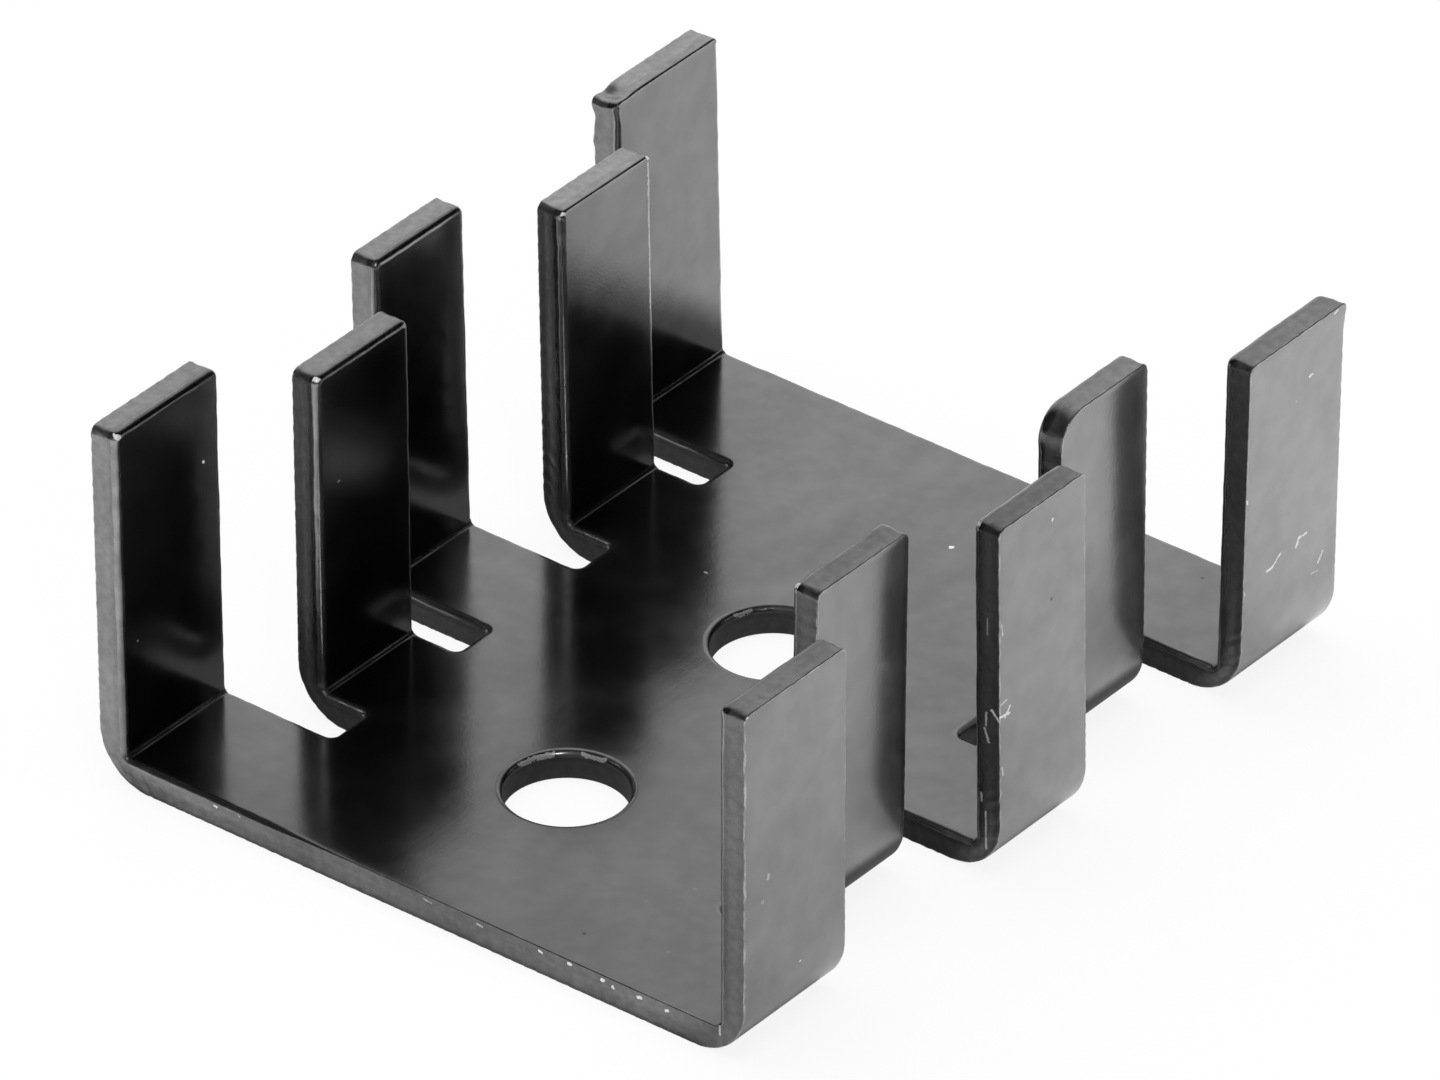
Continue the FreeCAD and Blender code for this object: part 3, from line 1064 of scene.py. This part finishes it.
def speck_group() -> Tree:
    """Dust and pinpricks: a dot in some cells of a random honeycomb.

    Returns:
        A group with the share of cells that have a dot and the dot's size, which gives a mask.
    """
    wiring, source, result = new_group(
        "specks", {"Place": None, "Scale": 400.0, "Share": 0.03, "Size": 0.12})
    cells = wiring.node("TexVoronoi", feature="F1")
    wiring.feed(cells.inputs["Vector"], source.outputs["Place"])
    wiring.feed(cells.inputs["Scale"], source.outputs["Scale"])
    parts = wiring.node("SeparateColor")
    wiring.feed(parts.inputs[0], cells.outputs["Color"])
    chosen = wiring.math("LESS_THAN", parts.outputs[0], source.outputs["Share"])
    size = wiring.math("MULTIPLY", source.outputs["Size"], wiring.math("ADD", parts.outputs[1], 0.4))
    dot = wiring.math("LESS_THAN", cells.outputs["Distance"], size)
    wiring.feed(result.inputs["Mask"], wiring.math("MULTIPLY", chosen, dot))
    return wiring.tree


def edge_wear_group() -> Tree:
    """Rubbed edges: the rim value broken up by noise, so that it shows in patches.

    Returns:
        A group with the rim value and an amount of wear, which gives a mask.
    """
    wiring, source, result = new_group(
        "edge_wear", {"Place": None, "Rim": 0.0, "Scale": 900.0, "Amount": 0.5})
    broken = wiring.noise(source.outputs["Place"], source.outputs["Scale"], 4.0, 0.65)
    raised = wiring.math("ADD", broken, source.outputs["Amount"])
    level = wiring.math("MULTIPLY", source.outputs["Rim"], raised)
    wiring.feed(result.inputs["Mask"], wiring.ramp(level, 0.75, 1.05))
    return wiring.tree


def scratch_and_glint_group() -> Tree:
    """A bright mark, used for nicks and for painted glints: places close to a short line, with an
    outline broken by noise.

    The nearest point of the line is found by projecting the place on it and clipping. The mask
    is 1 where the distance to that point is less than the width, which wanders by a half. The
    weight makes distances along one axis count less, so that a nick reaches a leaning face.

    Returns:
        A group with the line's start, run and width, which gives a mask.
    """
    wiring, source, result = new_group(
        "scratch_and_glint", {"Place": None, "Start": None, "Run": None, "Weight": None, "Width": 0.05})

    def vector(operation: str, *sources: object) -> Node:
        """Add a sum on vectors."""
        made = wiring.node("VectorMath", operation=operation)
        for socket, value in zip(made.inputs, sources):
            wiring.feed(socket, value)
        return made

    place = source.outputs["Place"]
    run = vector("MULTIPLY", source.outputs["Run"], source.outputs["Weight"]).outputs[0]
    straight = vector("SUBTRACT", place, source.outputs["Start"]).outputs[0]
    arm = vector("MULTIPLY", straight, source.outputs["Weight"]).outputs[0]
    share = wiring.math("DIVIDE", vector("DOT_PRODUCT", arm, run).outputs["Value"],
                        vector("DOT_PRODUCT", run, run).outputs["Value"])
    clipped = wiring.node("Clamp")
    wiring.feed(clipped.inputs[0], share)
    scaled = vector("SCALE", run)
    wiring.feed(scaled.inputs["Scale"], clipped.outputs[0])
    away = vector("DISTANCE", arm, scaled.outputs[0]).outputs["Value"]
    ragged = wiring.math("MULTIPLY_ADD", wiring.noise(place, 9000.0, 2.0, 0.6), 2.0, -0.25)
    limit = wiring.math("MULTIPLY", source.outputs["Width"], wiring.math("MAXIMUM", ragged, 0.0))
    wiring.feed(result.inputs["Mask"], wiring.math("LESS_THAN", away, limit))
    return wiring.tree


LEAST_RUN = 0.001
DEPTH_WEIGHT = 0.15


@dataclass(frozen=True)
class NickAndGlint:
    """A light mark from one place to another in millimetres: real scratches, flecks and chips, and
    painted glints and highlights.

    The level is its brightness, and the axis is the one that its face looks along. Depth below
    or above that face counts by its own weight, and a nick between equal places has a least run.
    """

    start: tuple[float, float, float]
    end: tuple[float, float, float]
    width: float = 0.05
    level: float = 1.0
    axis: int = 0

    def mask(self, wiring: Wiring, group: Tree, place: object) -> Socket:
        """Put this mark into a material.

        Args:
            wiring: The material's wiring.
            group: The group that draws the marks.
            place: Object coordinates.

        Returns:
            Mask of the nick.
        """
        made = place_group(wiring, group, Place=place, Width=self.width * MM)
        weights = [DEPTH_WEIGHT if number == self.axis else 1.0 for number in range(3)]
        run = [(b - a + LEAST_RUN) * MM for a, b in zip(self.start, self.end)]
        made.inputs["Start"].default_value = [value * MM for value in self.start]
        made.inputs["Run"].default_value = run
        made.inputs["Weight"].default_value = weights
        return wiring.math("MULTIPLY", made.outputs["Mask"], self.level)


# Light marks on the skins: real scratches, flecks and a burr curl, and painted glints and highlights where
# marked.
SKIN_NICKS_AND_GLINTS = (
    NickAndGlint((12.9, 11.3, 4.42), (12.9, 11.55, 4.42), 0.08),
    NickAndGlint((12.9, 11.55, 4.42), (12.9, 11.95, 4.75), 0.06),
    NickAndGlint((12.9, 12.78, 4.55), (12.9, 12.9, 4.8), 0.08),
    NickAndGlint((12.9, 12.9, 4.8), (12.9, 13.3, 4.8), 0.06),
    NickAndGlint((12.9, 14.0, 3.35), (12.9, 14.2, 3.65), 0.07, 0.7),
    NickAndGlint((12.9, 13.65, 3.1), (12.9, 13.95, 3.05), 0.05, 0.5),
    NickAndGlint((12.9, 10.1, 7.62), (12.9, 10.12, 7.5), 0.06),
    NickAndGlint((12.9, 10.1, 4.2), (12.9, 10.12, 4.1), 0.05, 0.6),
    # Painted glint at the back corner of the last right fin's tip.
    NickAndGlint((12.9, 14.4, 12.4), (12.9, 14.55, 12.47), 0.05),
    NickAndGlint((12.9, 13.2, 10.7), (12.9, 13.3, 10.7), 0.07),
    NickAndGlint((12.9, 12.5, 10.1), (12.9, 12.52, 10.1), 0.04, 0.6),
    NickAndGlint((12.7, 0.4, 11.83), (12.7, 0.43, 11.8), 0.06),
    NickAndGlint((12.7, -12.23, 2.41), (12.7, -12.2, 2.4), 0.05, 0.6),
    NickAndGlint((12.7, -13.81, 6.28), (12.7, -13.76, 6.4), 0.08, 0.3),
    NickAndGlint((12.7, -14.08, 5.55), (12.7, -14.06, 5.53), 0.07, 0.25),
    NickAndGlint((12.7, -9.98, 10.5), (12.7, -9.98, 10.3), 0.04, 0.6),
    NickAndGlint((12.62, -2.35, 6.0), (12.7, -1.75, 5.9), 0.06, 0.9),
    NickAndGlint((12.7, -2.0, 5.85), (12.7, -1.75, 6.15), 0.05, 0.9),
    NickAndGlint((12.7, -2.2, 6.4), (12.7, -1.9, 6.45), 0.04, 0.5),
    NickAndGlint((12.7, -2.15, 9.3), (12.7, -2.1, 8.9), 0.04, 0.6),
    NickAndGlint((12.7, -2.15, 4.1), (12.7, -2.1, 3.8), 0.04, 0.5),
    NickAndGlint((-11.75, -10.86, 9.89), (-11.75, -10.83, 9.85), 0.06),
    NickAndGlint((-11.72, -14.2, 5.0), (-11.72, -14.17, 5.0), 0.05, 0.4),
    NickAndGlint((-9.25, -7.4, 8.4), (-9.25, -7.37, 8.4), 0.05, 0.4),
    # Painted glints at the corners of the fin tips, and a painted highlight down the fourth left fin's back
    # edge.
    NickAndGlint((-11.8, -14.8, 12.72), (-11.8, -14.75, 12.72), 0.1, 0.8),
    NickAndGlint((-9.5, -8.25, 12.48), (-9.5, -8.2, 12.48), 0.1, 0.8),
    NickAndGlint((-9.5, 3.95, 12.48), (-9.5, 4.0, 12.48), 0.08, 0.8),
    NickAndGlint((-9.7, 8.22, 12.5), (-9.7, 8.25, 12.48), 0.12, 0.9),
    NickAndGlint((-9.6, 8.22, 12.3), (-9.5, 8.22, 7.0), 0.09, 0.6),
    NickAndGlint((-9.7, 6.5, 12.46), (-9.7, 6.52, 12.46), 0.07, 0.5),
    NickAndGlint((-12.0, 10.3, 12.76), (-12.0, 10.33, 12.76), 0.08, 0.7),
    NickAndGlint((12.65, -14.9, 12.66), (12.65, -14.85, 12.66), 0.1, 0.6),
    NickAndGlint((9.5, -8.25, 12.6), (9.5, -8.2, 12.6), 0.1, 0.6),
    NickAndGlint((11.8, -2.15, 12.6), (11.8, -2.1, 12.6), 0.08, 0.5),
    # Painted highlights: arcs on the rim of the front screw hole.
    NickAndGlint((-2.04, -7.52, 0.95), (-1.89, -6.9, 0.95), 0.06, 0.35, 2),
    NickAndGlint((-1.89, -6.9, 0.95), (-1.57, -6.38, 0.95), 0.06, 0.4, 2),
    NickAndGlint((-0.87, -5.84, 0.95), (-0.07, -5.65, 0.95), 0.05, 0.4, 2),
    NickAndGlint((6.52, -9.59, 0.95), (6.55, -9.57, 0.95), 0.06, 0.12, 2),
    NickAndGlint((5.77, -11.01, 0.95), (5.8, -11.0, 0.95), 0.06, 0.12, 2),
    NickAndGlint((8.0, -12.74, 0.95), (8.03, -12.72, 0.95), 0.06, 0.12, 2),
    # Painted highlight on the rim of the back screw hole.
    NickAndGlint((-1.98, 3.18, 0.95), (-1.74, 3.74, 0.95), 0.05, 0.35, 2),
    NickAndGlint((1.03, 10.4, 1.0), (1.07, 10.4, 1.0), 0.1, 1.0, 2),
    NickAndGlint((0.95, 12.25, 1.0), (1.0, 12.25, 1.0), 0.05, 0.7, 2),
    NickAndGlint((-4.17, 4.46, 1.0), (-4.1, 4.46, 1.0), 0.05, 0.5, 2),
    NickAndGlint((-1.4, -8.9, 1.0), (-1.38, -8.6, 1.0), 0.035, 0.4, 2),
)

CUT_NICKS = (
    NickAndGlint((12.1, -2.25, 5.95), (12.1, -2.25, 5.5), 0.05, 0.5, 1),
    NickAndGlint((12.05, -2.25, 5.35), (12.2, -2.25, 4.9), 0.06, 0.5, 1),
    NickAndGlint((12.3, -2.25, 6.1), (12.6, -2.25, 5.8), 0.06, 0.7, 1),
    NickAndGlint((11.93, -2.25, 2.95), (11.95, -2.25, 2.65), 0.05, 0.5, 1),
    NickAndGlint((12.12, -2.25, 2.3), (12.14, -2.25, 0.95), 0.04, 0.5, 1),
    NickAndGlint((12.1, -2.25, 9.4), (12.1, -2.25, 8.8), 0.03, 0.3, 1),
    NickAndGlint((11.75, -14.95, 1.55), (11.75, -14.95, 0.75), 0.04, 0.5, 1),
    NickAndGlint((4.75, -14.95, 0.85), (4.85, -14.95, 0.82), 0.055, 1.0, 1),
    NickAndGlint((5.87, -14.95, 0.87), (6.0, -14.95, 0.86), 0.065, 1.0, 1),
    NickAndGlint((7.18, -14.95, 0.81), (7.26, -14.95, 0.83), 0.08, 1.0, 1),
    NickAndGlint((7.6, -14.95, 0.74), (7.62, -14.95, 0.7), 0.065, 1.0, 1),
    NickAndGlint((8.58, -14.95, 0.77), (8.68, -14.95, 0.81), 0.075, 1.0, 1),
    NickAndGlint((9.68, -14.95, 0.75), (9.75, -14.95, 0.77), 0.065, 1.0, 1),
    NickAndGlint((-7.2, -14.95, 0.86), (-7.15, -14.95, 0.86), 0.1, 1.0, 1),
    NickAndGlint((-8.1, -14.95, 0.8), (-8.05, -14.95, 0.78), 0.08, 1.0, 1),
    NickAndGlint((2.3, -14.95, 0.8), (2.5, -14.95, 0.78), 0.05, 0.5, 1),
    NickAndGlint((0.2, -14.95, 0.84), (0.5, -14.95, 0.8), 0.04, 0.4, 1),
)


@dataclass(frozen=True)
class RolledSkin:
    """Black anodised face of the rolled sheet: satin, nearly even, rubbed along its edges."""

    # The tone carries painted shade in the folds' creases, painted light on the folds' outsides and towards
    # the back, and painted glints.
    tone: float = 0.28
    rubbed_tone: float = 0.5
    bright_tone: float = 0.85
    painted_crease_shade_tone: float = 0.35
    stretch_and_painted_light_tone: float = 1.35
    pit_tone: float = 0.45
    roughness: float = 0.16
    crease_roughness: float = 0.2
    rim_roughness: float = 0.1
    dust_roughness: float = 0.6
    grain_strength: float = 0.12
    grain_depth: float = 0.00002

    def material(self, groups: dict[str, Tree]) -> bpy.types.Material:
        """Build the material.

        Args:
            groups: The shared shader groups by name.

        Returns:
            The material of the sheet's two faces.
        """
        made, wiring, shader = new_material("black_anodised_face")
        place = wiring.node("TexCoord").outputs["Object"]
        surface = place_group(wiring, groups["grain"], Place=place, Scale=1.0)
        cloud = surface.outputs["Cloud"]
        turned = wiring.stretch(place, (1.3, 1.3, 1.3), 40.0)
        dust = mask_of(wiring, groups["specks"], Place=place, Scale=1000.0, Share=0.02, Size=0.05)
        pits = mask_of(wiring, groups["specks"], Place=turned, Scale=900.0, Share=0.03, Size=0.06)
        rim = wiring.attribute("rim")
        worn = mask_of(wiring, groups["wear"], Place=place, Rim=rim, Scale=1400.0, Amount=0.35)
        broken = wiring.ramp(wiring.noise(place, 1300.0, 3.0), 0.4, 0.6)
        patchy = wiring.math("MULTIPLY_ADD", broken, 0.6, 0.4)
        crease = wiring.math("MULTIPLY", wiring.attribute("crease"), patchy)
        tone = wiring.chain(
            "MULTIPLY",
            self.tone,
            wiring.ramp(cloud, 0.3, 0.7, 0.92, 1.07),
            painted_light_drift(wiring, place),
            wiring.ramp(wiring.noise(place, 1100.0, 2.0), 0.3, 0.7, 0.95, 1.05),
            # Painted shade: darker along the inner crease of each fold.
            wiring.mix(crease, 1.0, self.painted_crease_shade_tone),
            # Lighter along the outside of each fold: stretch marks together with painted light.
            wiring.mix(wiring.attribute("stretch"), 1.0, self.stretch_and_painted_light_tone),
            wiring.mix(pits, 1.0, self.pit_tone),
        )
        strength = wiring.ramp(wiring.attribute("depth"), 0.4, 0.6, 0.8, 0.35)
        tone = wiring.mix(wiring.math("MULTIPLY", worn, strength), tone, self.rubbed_tone)
        # Dust, real nicks and painted glints are all drawn light.
        bright = add_nicks_and_glints(wiring, groups["scratch_and_glint"], place, SKIN_NICKS_AND_GLINTS)
        tone = wiring.mix(wiring.math("MAXIMUM", dust, bright), tone, self.bright_tone)
        roughness = wiring.chain(
            "ADD",
            self.roughness,
            wiring.ramp(cloud, 0.3, 0.7, -0.02, 0.03),
            wiring.math("MULTIPLY", crease, self.crease_roughness),
            wiring.math("MULTIPLY", rim, self.rim_roughness),
        )
        wiring.feed(shader.inputs["Base Color"], grey(wiring, tone))
        wiring.feed(shader.inputs["Metallic"], wiring.mix(bright, 1.0, 0.0))
        wiring.feed(shader.inputs["Roughness"], wiring.mix(dust, roughness, self.dust_roughness))
        grain = wiring.bump(surface.outputs["Height"], self.grain_strength, self.grain_depth)
        wiring.feed(shader.inputs["Normal"], grain)
        return made


@dataclass(frozen=True)
class ShearedEdge:
    """Cut wall of the sheet: a smooth burnished band and a rough torn one, both anodised."""

    # The tone is scaled by painted light and painted shade as well as by the dyeing.
    burnished_tone: float = 0.2
    torn_tone: float = 0.24
    rubbed_tone: float = 0.6
    bright_tone: float = 0.8
    burnished_roughness: float = 0.22
    torn_roughness: float = 0.38
    rubbed_share: float = 0.7
    grain_strength: float = 0.35
    grain_depth: float = 0.00003

    def material(self, groups: dict[str, Tree]) -> bpy.types.Material:
        """Build the material.

        Args:
            groups: The shared shader groups by name.

        Returns:
            The material of the cut walls.
        """
        made, wiring, shader = new_material("black_anodised_cut")
        place = wiring.node("TexCoord").outputs["Object"]
        surface = place_group(wiring, groups["grain"], Place=place, Scale=1.4)
        wander = wiring.noise(place, 900.0, 3.0, 0.6)
        line = wiring.math("ADD", wiring.attribute("depth"), wiring.math("MULTIPLY", wander, 0.3))
        torn = wiring.ramp(line, 0.85, 0.72)
        tone = wiring.chain(
            "MULTIPLY",
            wiring.mix(torn, self.burnished_tone, self.torn_tone),
            # Cut tone factor: the dyeing with painted light and painted shade.
            wiring.attribute("dye_and_painted_light"),
            painted_light_drift(wiring, place),
            wiring.ramp(surface.outputs["Cloud"], 0.3, 0.7, 0.92, 1.08),
            wiring.ramp(wiring.noise(place, 3600.0, 3.0, 0.6), 0.3, 0.7, 0.88, 1.12),
        )
        burr = wiring.ramp(wiring.attribute("depth"), 0.14, 0.03)
        worn = mask_of(wiring, groups["wear"], Place=place, Rim=burr, Scale=1900.0, Amount=0.36)
        tone = wiring.mix(wiring.math("MULTIPLY", worn, self.rubbed_share), tone, self.rubbed_tone)
        dust = mask_of(wiring, groups["specks"], Place=place, Scale=900.0, Share=0.02, Size=0.14)
        bright = add_nicks_and_glints(wiring, groups["scratch_and_glint"], place, CUT_NICKS)
        tone = wiring.mix(wiring.math("MAXIMUM", dust, bright), tone, self.bright_tone)
        roughness = wiring.mix(torn, self.burnished_roughness, self.torn_roughness)
        wiring.feed(shader.inputs["Base Color"], grey(wiring, tone))
        wiring.feed(shader.inputs["Metallic"], wiring.mix(bright, 1.0, 0.0))
        wiring.feed(shader.inputs["Roughness"], roughness)
        grain = wiring.bump(surface.outputs["Height"], self.grain_strength, self.grain_depth)
        wiring.feed(shader.inputs["Normal"], grain)
        return made


def new_material(name: str) -> tuple[bpy.types.Material, Wiring, Node]:
    """Make an empty node material and return it with its wiring and its Principled shader."""
    made = bpy.data.materials.new(name)
    made.use_nodes = True
    return made, Wiring(made.node_tree), made.node_tree.nodes["Principled BSDF"]


def place_group(wiring: Wiring, group: Tree, **sources: object) -> Node:
    """Put a shared group into a material with its own values."""
    made = wiring.node("Group", node_tree=group)
    for name, source in sources.items():
        wiring.feed(made.inputs[name], source)
    return made


def mask_of(wiring: Wiring, group: Tree, **sources: object) -> Socket:
    """Put a shared group into a material and return its mask."""
    return place_group(wiring, group, **sources).outputs["Mask"]


def add_nicks_and_glints(wiring: Wiring, group: Tree, place: object, nicks_and_glints: tuple[NickAndGlint, ...]) -> Socket:
    """Join the masks of several marks, real ones and painted glints, into one."""
    return wiring.chain("MAXIMUM", *(nick.mask(wiring, group, place) for nick in nicks_and_glints))


# Painted light: the tone lightens towards the back of the part.
DRIFT_PER_METRE = 9.5


def painted_light_drift(wiring: Wiring, place: object) -> Socket:
    """Painted light: a little lighter for each step towards the back of the part."""
    made = wiring.node("SeparateXYZ")
    wiring.feed(made.inputs[0], place)
    return wiring.math("MULTIPLY_ADD", made.outputs[1], DRIFT_PER_METRE, 1.0)


def grey(wiring: Wiring, tone: object) -> Socket:
    """Turn one tone into a neutral colour."""
    made = wiring.node("CombineColor")
    for socket in made.inputs:
        wiring.feed(socket, tone)
    return made.outputs[0]


@dataclass
class Studio:
    """White sweep, soft lamps and the camera at the photograph's viewing angle."""

    sizes: SheetSizes
    azimuth: float = 38.2771
    elevation: float = 33.2285
    roll: float = 0.0224
    distance: float = 519.74
    slide_right: float = 0.0354
    slide_up: float = 0.1333
    focal_pixels: float = 16761.9
    frame_pixels: float = 1440.0
    sensor: float = 36.0
    floor_drop: float = 0.01
    back_light: tuple[float, float, float] = (-0.6, 0.62, 0.5)
    back_level: float = 0.67
    front_light: tuple[float, float, float] = (0.35, -0.8, 0.5)
    front_level: float = 0.14
    floor_half: float = 1.5
    floor_white: float = 0.9
    floor_lit: float = 0.87
    floor_shaded: float = 0.15

    def camera(self) -> bpy.types.Object:
        """Place the camera.

        It looks along the line given by azimuth and elevation at the middle of the part's
        height, rolled a little, and slides sideways and up in its own plane.

        Returns:
            The camera.
        """
        azimuth, elevation, roll = (math.radians(a) for a in (self.azimuth, self.elevation, self.roll))
        back = np.array([
            math.sin(azimuth) * math.cos(elevation),
            -math.cos(azimuth) * math.cos(elevation),
            math.sin(elevation),
        ])
        level = np.array([math.cos(azimuth), math.sin(azimuth), 0.0])
        rise = np.cross(back, level)
        right = math.cos(roll) * level + math.sin(roll) * rise
        up = math.cos(roll) * rise - math.sin(roll) * level
        centre = np.array([0.0, 0.0, self.sizes.height / 2])
        place = centre + back * self.distance - right * self.slide_right - up * self.slide_up
        data = bpy.data.cameras.new("camera")
        data.sensor_width = self.sensor
        data.lens = self.focal_pixels * self.sensor / self.frame_pixels
        data.clip_start, data.clip_end = 0.01, 10.0
        made = bpy.data.objects.new("camera", data)
        rotation = Matrix(np.column_stack([right, up, back]).tolist()).to_4x4()
        made.matrix_world = Matrix.Translation((place * MM).tolist()) @ rotation
        bpy.context.scene.collection.objects.link(made)
        bpy.context.scene.camera = made
        return made

    def floor(self) -> bpy.types.Object:
        """White floor that takes the part's shadow.

        To the camera it shines mostly by itself, which keeps the shadow pale. To the metal it is
        plain white paint, but dark where shade_under_part says so.

        Returns:
            The floor, kept out of the visual model.
        """
        half = self.floor_half
        corners = np.array([[-half, -half], [half, -half], [half, half], [-half, half]])
        points = np.column_stack([corners, np.full(4, -self.floor_drop * MM)])
        made = write_mesh("floor", points, [np.array([[0, 1, 2, 3]])], [np.zeros(1)])
        material = bpy.data.materials.new("white_floor")
        material.use_nodes = True
        wiring = Wiring(material.node_tree)
        material.node_tree.nodes.remove(material.node_tree.nodes["Principled BSDF"])
        paint = wiring.node("BsdfDiffuse")
        paint.inputs["Color"].default_value = (self.floor_white,) * 3 + (1.0,)
        light = wiring.node("Emission")
        path = wiring.node("LightPath")
        shown = wiring.math("MAXIMUM", path.outputs["Is Camera Ray"], path.outputs["Is Transmission Ray"])
        shade = self.shade_under_part(wiring)
        lit = wiring.math("MULTIPLY", shown, self.floor_lit)
        shaded = wiring.math("MULTIPLY", path.outputs["Is Glossy Ray"], shade)
        share = wiring.math("MAXIMUM", lit, shaded)
        wiring.feed(light.inputs["Strength"], wiring.mix(shown, self.floor_shaded, 1.0))
        blend = wiring.node("MixShader")
        wiring.feed(blend.inputs[0], share)
        wiring.feed(blend.inputs[1], paint.outputs[0])
        wiring.feed(blend.inputs[2], light.outputs[0])
        output = material.node_tree.nodes["Material Output"]
        wiring.feed(output.inputs["Surface"], blend.outputs[0])
        made.data.materials.append(material)
        return made

    def shade_under_part(self, wiring: Wiring) -> Socket:
        """Where the floor looks dark in the metal: under the part and close to both its ends.

        The value is 1 inside the part's outline. It fades out within a millimetre of the left
        side and before it reaches the right side, so that the right folds see a light floor.
        In front of the middle of the web it fades over ten millimetres. Behind, it fades over
        three and is even from there.

        Args:
            wiring: The floor's wiring.

        Returns:
            The value, from 0 to 1.
        """
        place = wiring.node("SeparateXYZ")
        wiring.feed(place.inputs[0], wiring.node("TexCoord").outputs["Object"])
        across = wiring.math("ABSOLUTE", place.outputs[0])
        along = place.outputs[1]
        half_width, half_length = self.sizes.width / 2 * MM, self.sizes.length / 2 * MM
        leftward = wiring.math("MULTIPLY", place.outputs[0], -1.0)
        beside = wiring.chain(
            "MULTIPLY",
            wiring.ramp(leftward, half_width, half_width + MM, 1.0, 0.0),
            wiring.ramp(place.outputs[0], half_width - 2.4 * MM, half_width - 0.8 * MM, 1.0, 0.0),
        )
        beyond = wiring.ramp(wiring.math("ABSOLUTE", along), half_length, half_length + MM, 1.0, 0.0)
        under = wiring.math("MULTIPLY", beside, beyond)
        middle = wiring.ramp(across, 5 * MM, 14 * MM, 1.0, 0.0)
        close_behind = wiring.ramp(along, half_length + 1.8 * MM, half_length + 5 * MM, 1.0, 0.0)
        behind = wiring.math("GREATER_THAN", along, 0.0)
        near = wiring.chain("MULTIPLY", beside, close_behind, behind)
        ahead = wiring.ramp(along, -half_length - 12 * MM, -half_length - 3 * MM, 0.0, 0.65)
        clear = wiring.ramp(along, -half_length, -half_length + MM, 1.0, 0.0)
        front = wiring.chain("MULTIPLY", middle, ahead, clear)
        past_end = wiring.ramp(along, half_length, half_length + MM, 0.0, 0.38)
        back = wiring.math("MULTIPLY", middle, past_end)
        return wiring.chain("MAXIMUM", under, near, front, back)

    def surroundings(self) -> None:
        """World: white to the camera, and to the metal a room that is lighter on the left."""
        world = bpy.data.worlds.new("studio")
        bpy.context.scene.world = world
        world.use_nodes = True
        wiring = Wiring(world.node_tree)
        direction = wiring.node("TexCoord").outputs["Generated"]
        leftward = wiring.toward(direction, (-1.0, 0.0, 0.0))
        behind = wiring.toward(direction, self.back_light)
        ahead = wiring.toward(direction, self.front_light)
        room = wiring.ramp(leftward, -0.6, 0.6, 0.4, 1.1)
        seen = wiring.chain(
            "MAXIMUM",
            wiring.ramp(behind, 0.6, 0.93, 0.0, self.back_level),
            wiring.ramp(ahead, 0.45, 0.9, 0.0, self.front_level),
        )
        path = wiring.node("LightPath")
        level = wiring.mix(path.outputs["Is Glossy Ray"], room, seen)
        level = wiring.mix(path.outputs["Is Camera Ray"], level, 1.0)
        background = world.node_tree.nodes["Background"]
        wiring.feed(background.inputs["Color"], grey(wiring, level))

    def lamp(self, name: str, place: tuple[float, float, float], size: float,
             power: float) -> bpy.types.Object:
        """Add a square soft lamp that faces the part.

        Args:
            name: Name of the lamp.
            place: Its place in metres.
            size: Its side in metres.
            power: Its power in watts.

        Returns:
            The lamp.
        """
        data = bpy.data.lights.new(name, "AREA")
        data.shape = "SQUARE"
        data.size = size
        data.energy = power
        made = bpy.data.objects.new(name, data)
        made.location = place
        aim = made.location.to_track_quat("Z", "Y")
        made.rotation_euler = aim.to_euler()
        bpy.context.scene.collection.objects.link(made)
        return made

    def build(self) -> None:
        """Set up the whole studio."""
        self.camera()
        self.floor()
        self.surroundings()
        self.lamp("overhead_softbox", (0.0, 0.1, 1.0), 0.8, 4.5).visible_glossy = False
        self.lamp("front_lamp", (0.57, -0.44, 0.54), 0.12, 0.9)
        bpy.context.scene.view_settings.view_transform = "Standard"


def main() -> None:
    """Build the sheet, dress it and set up the studio."""
    logging.basicConfig(level=logging.INFO, format="%(name)s: %(message)s")
    sizes = SheetSizes.from_frame("heat_sink")
    Studio(sizes).build()
    groups = {
        "grain": grain_group(),
        "specks": speck_group(),
        "wear": edge_wear_group(),
        "scratch_and_glint": scratch_and_glint_group(),
    }
    sheet = HeatSink(sizes).build()
    for finish in (RolledSkin(), ShearedEdge()):
        sheet.data.materials.append(finish.material(groups))
    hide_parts("heat_sink")
    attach(sheet, "root")
    LOG.info("%s: %d points, %d faces", sheet.name, len(sheet.data.vertices), len(sheet.data.polygons))


if __name__ == "__main__":
    main()
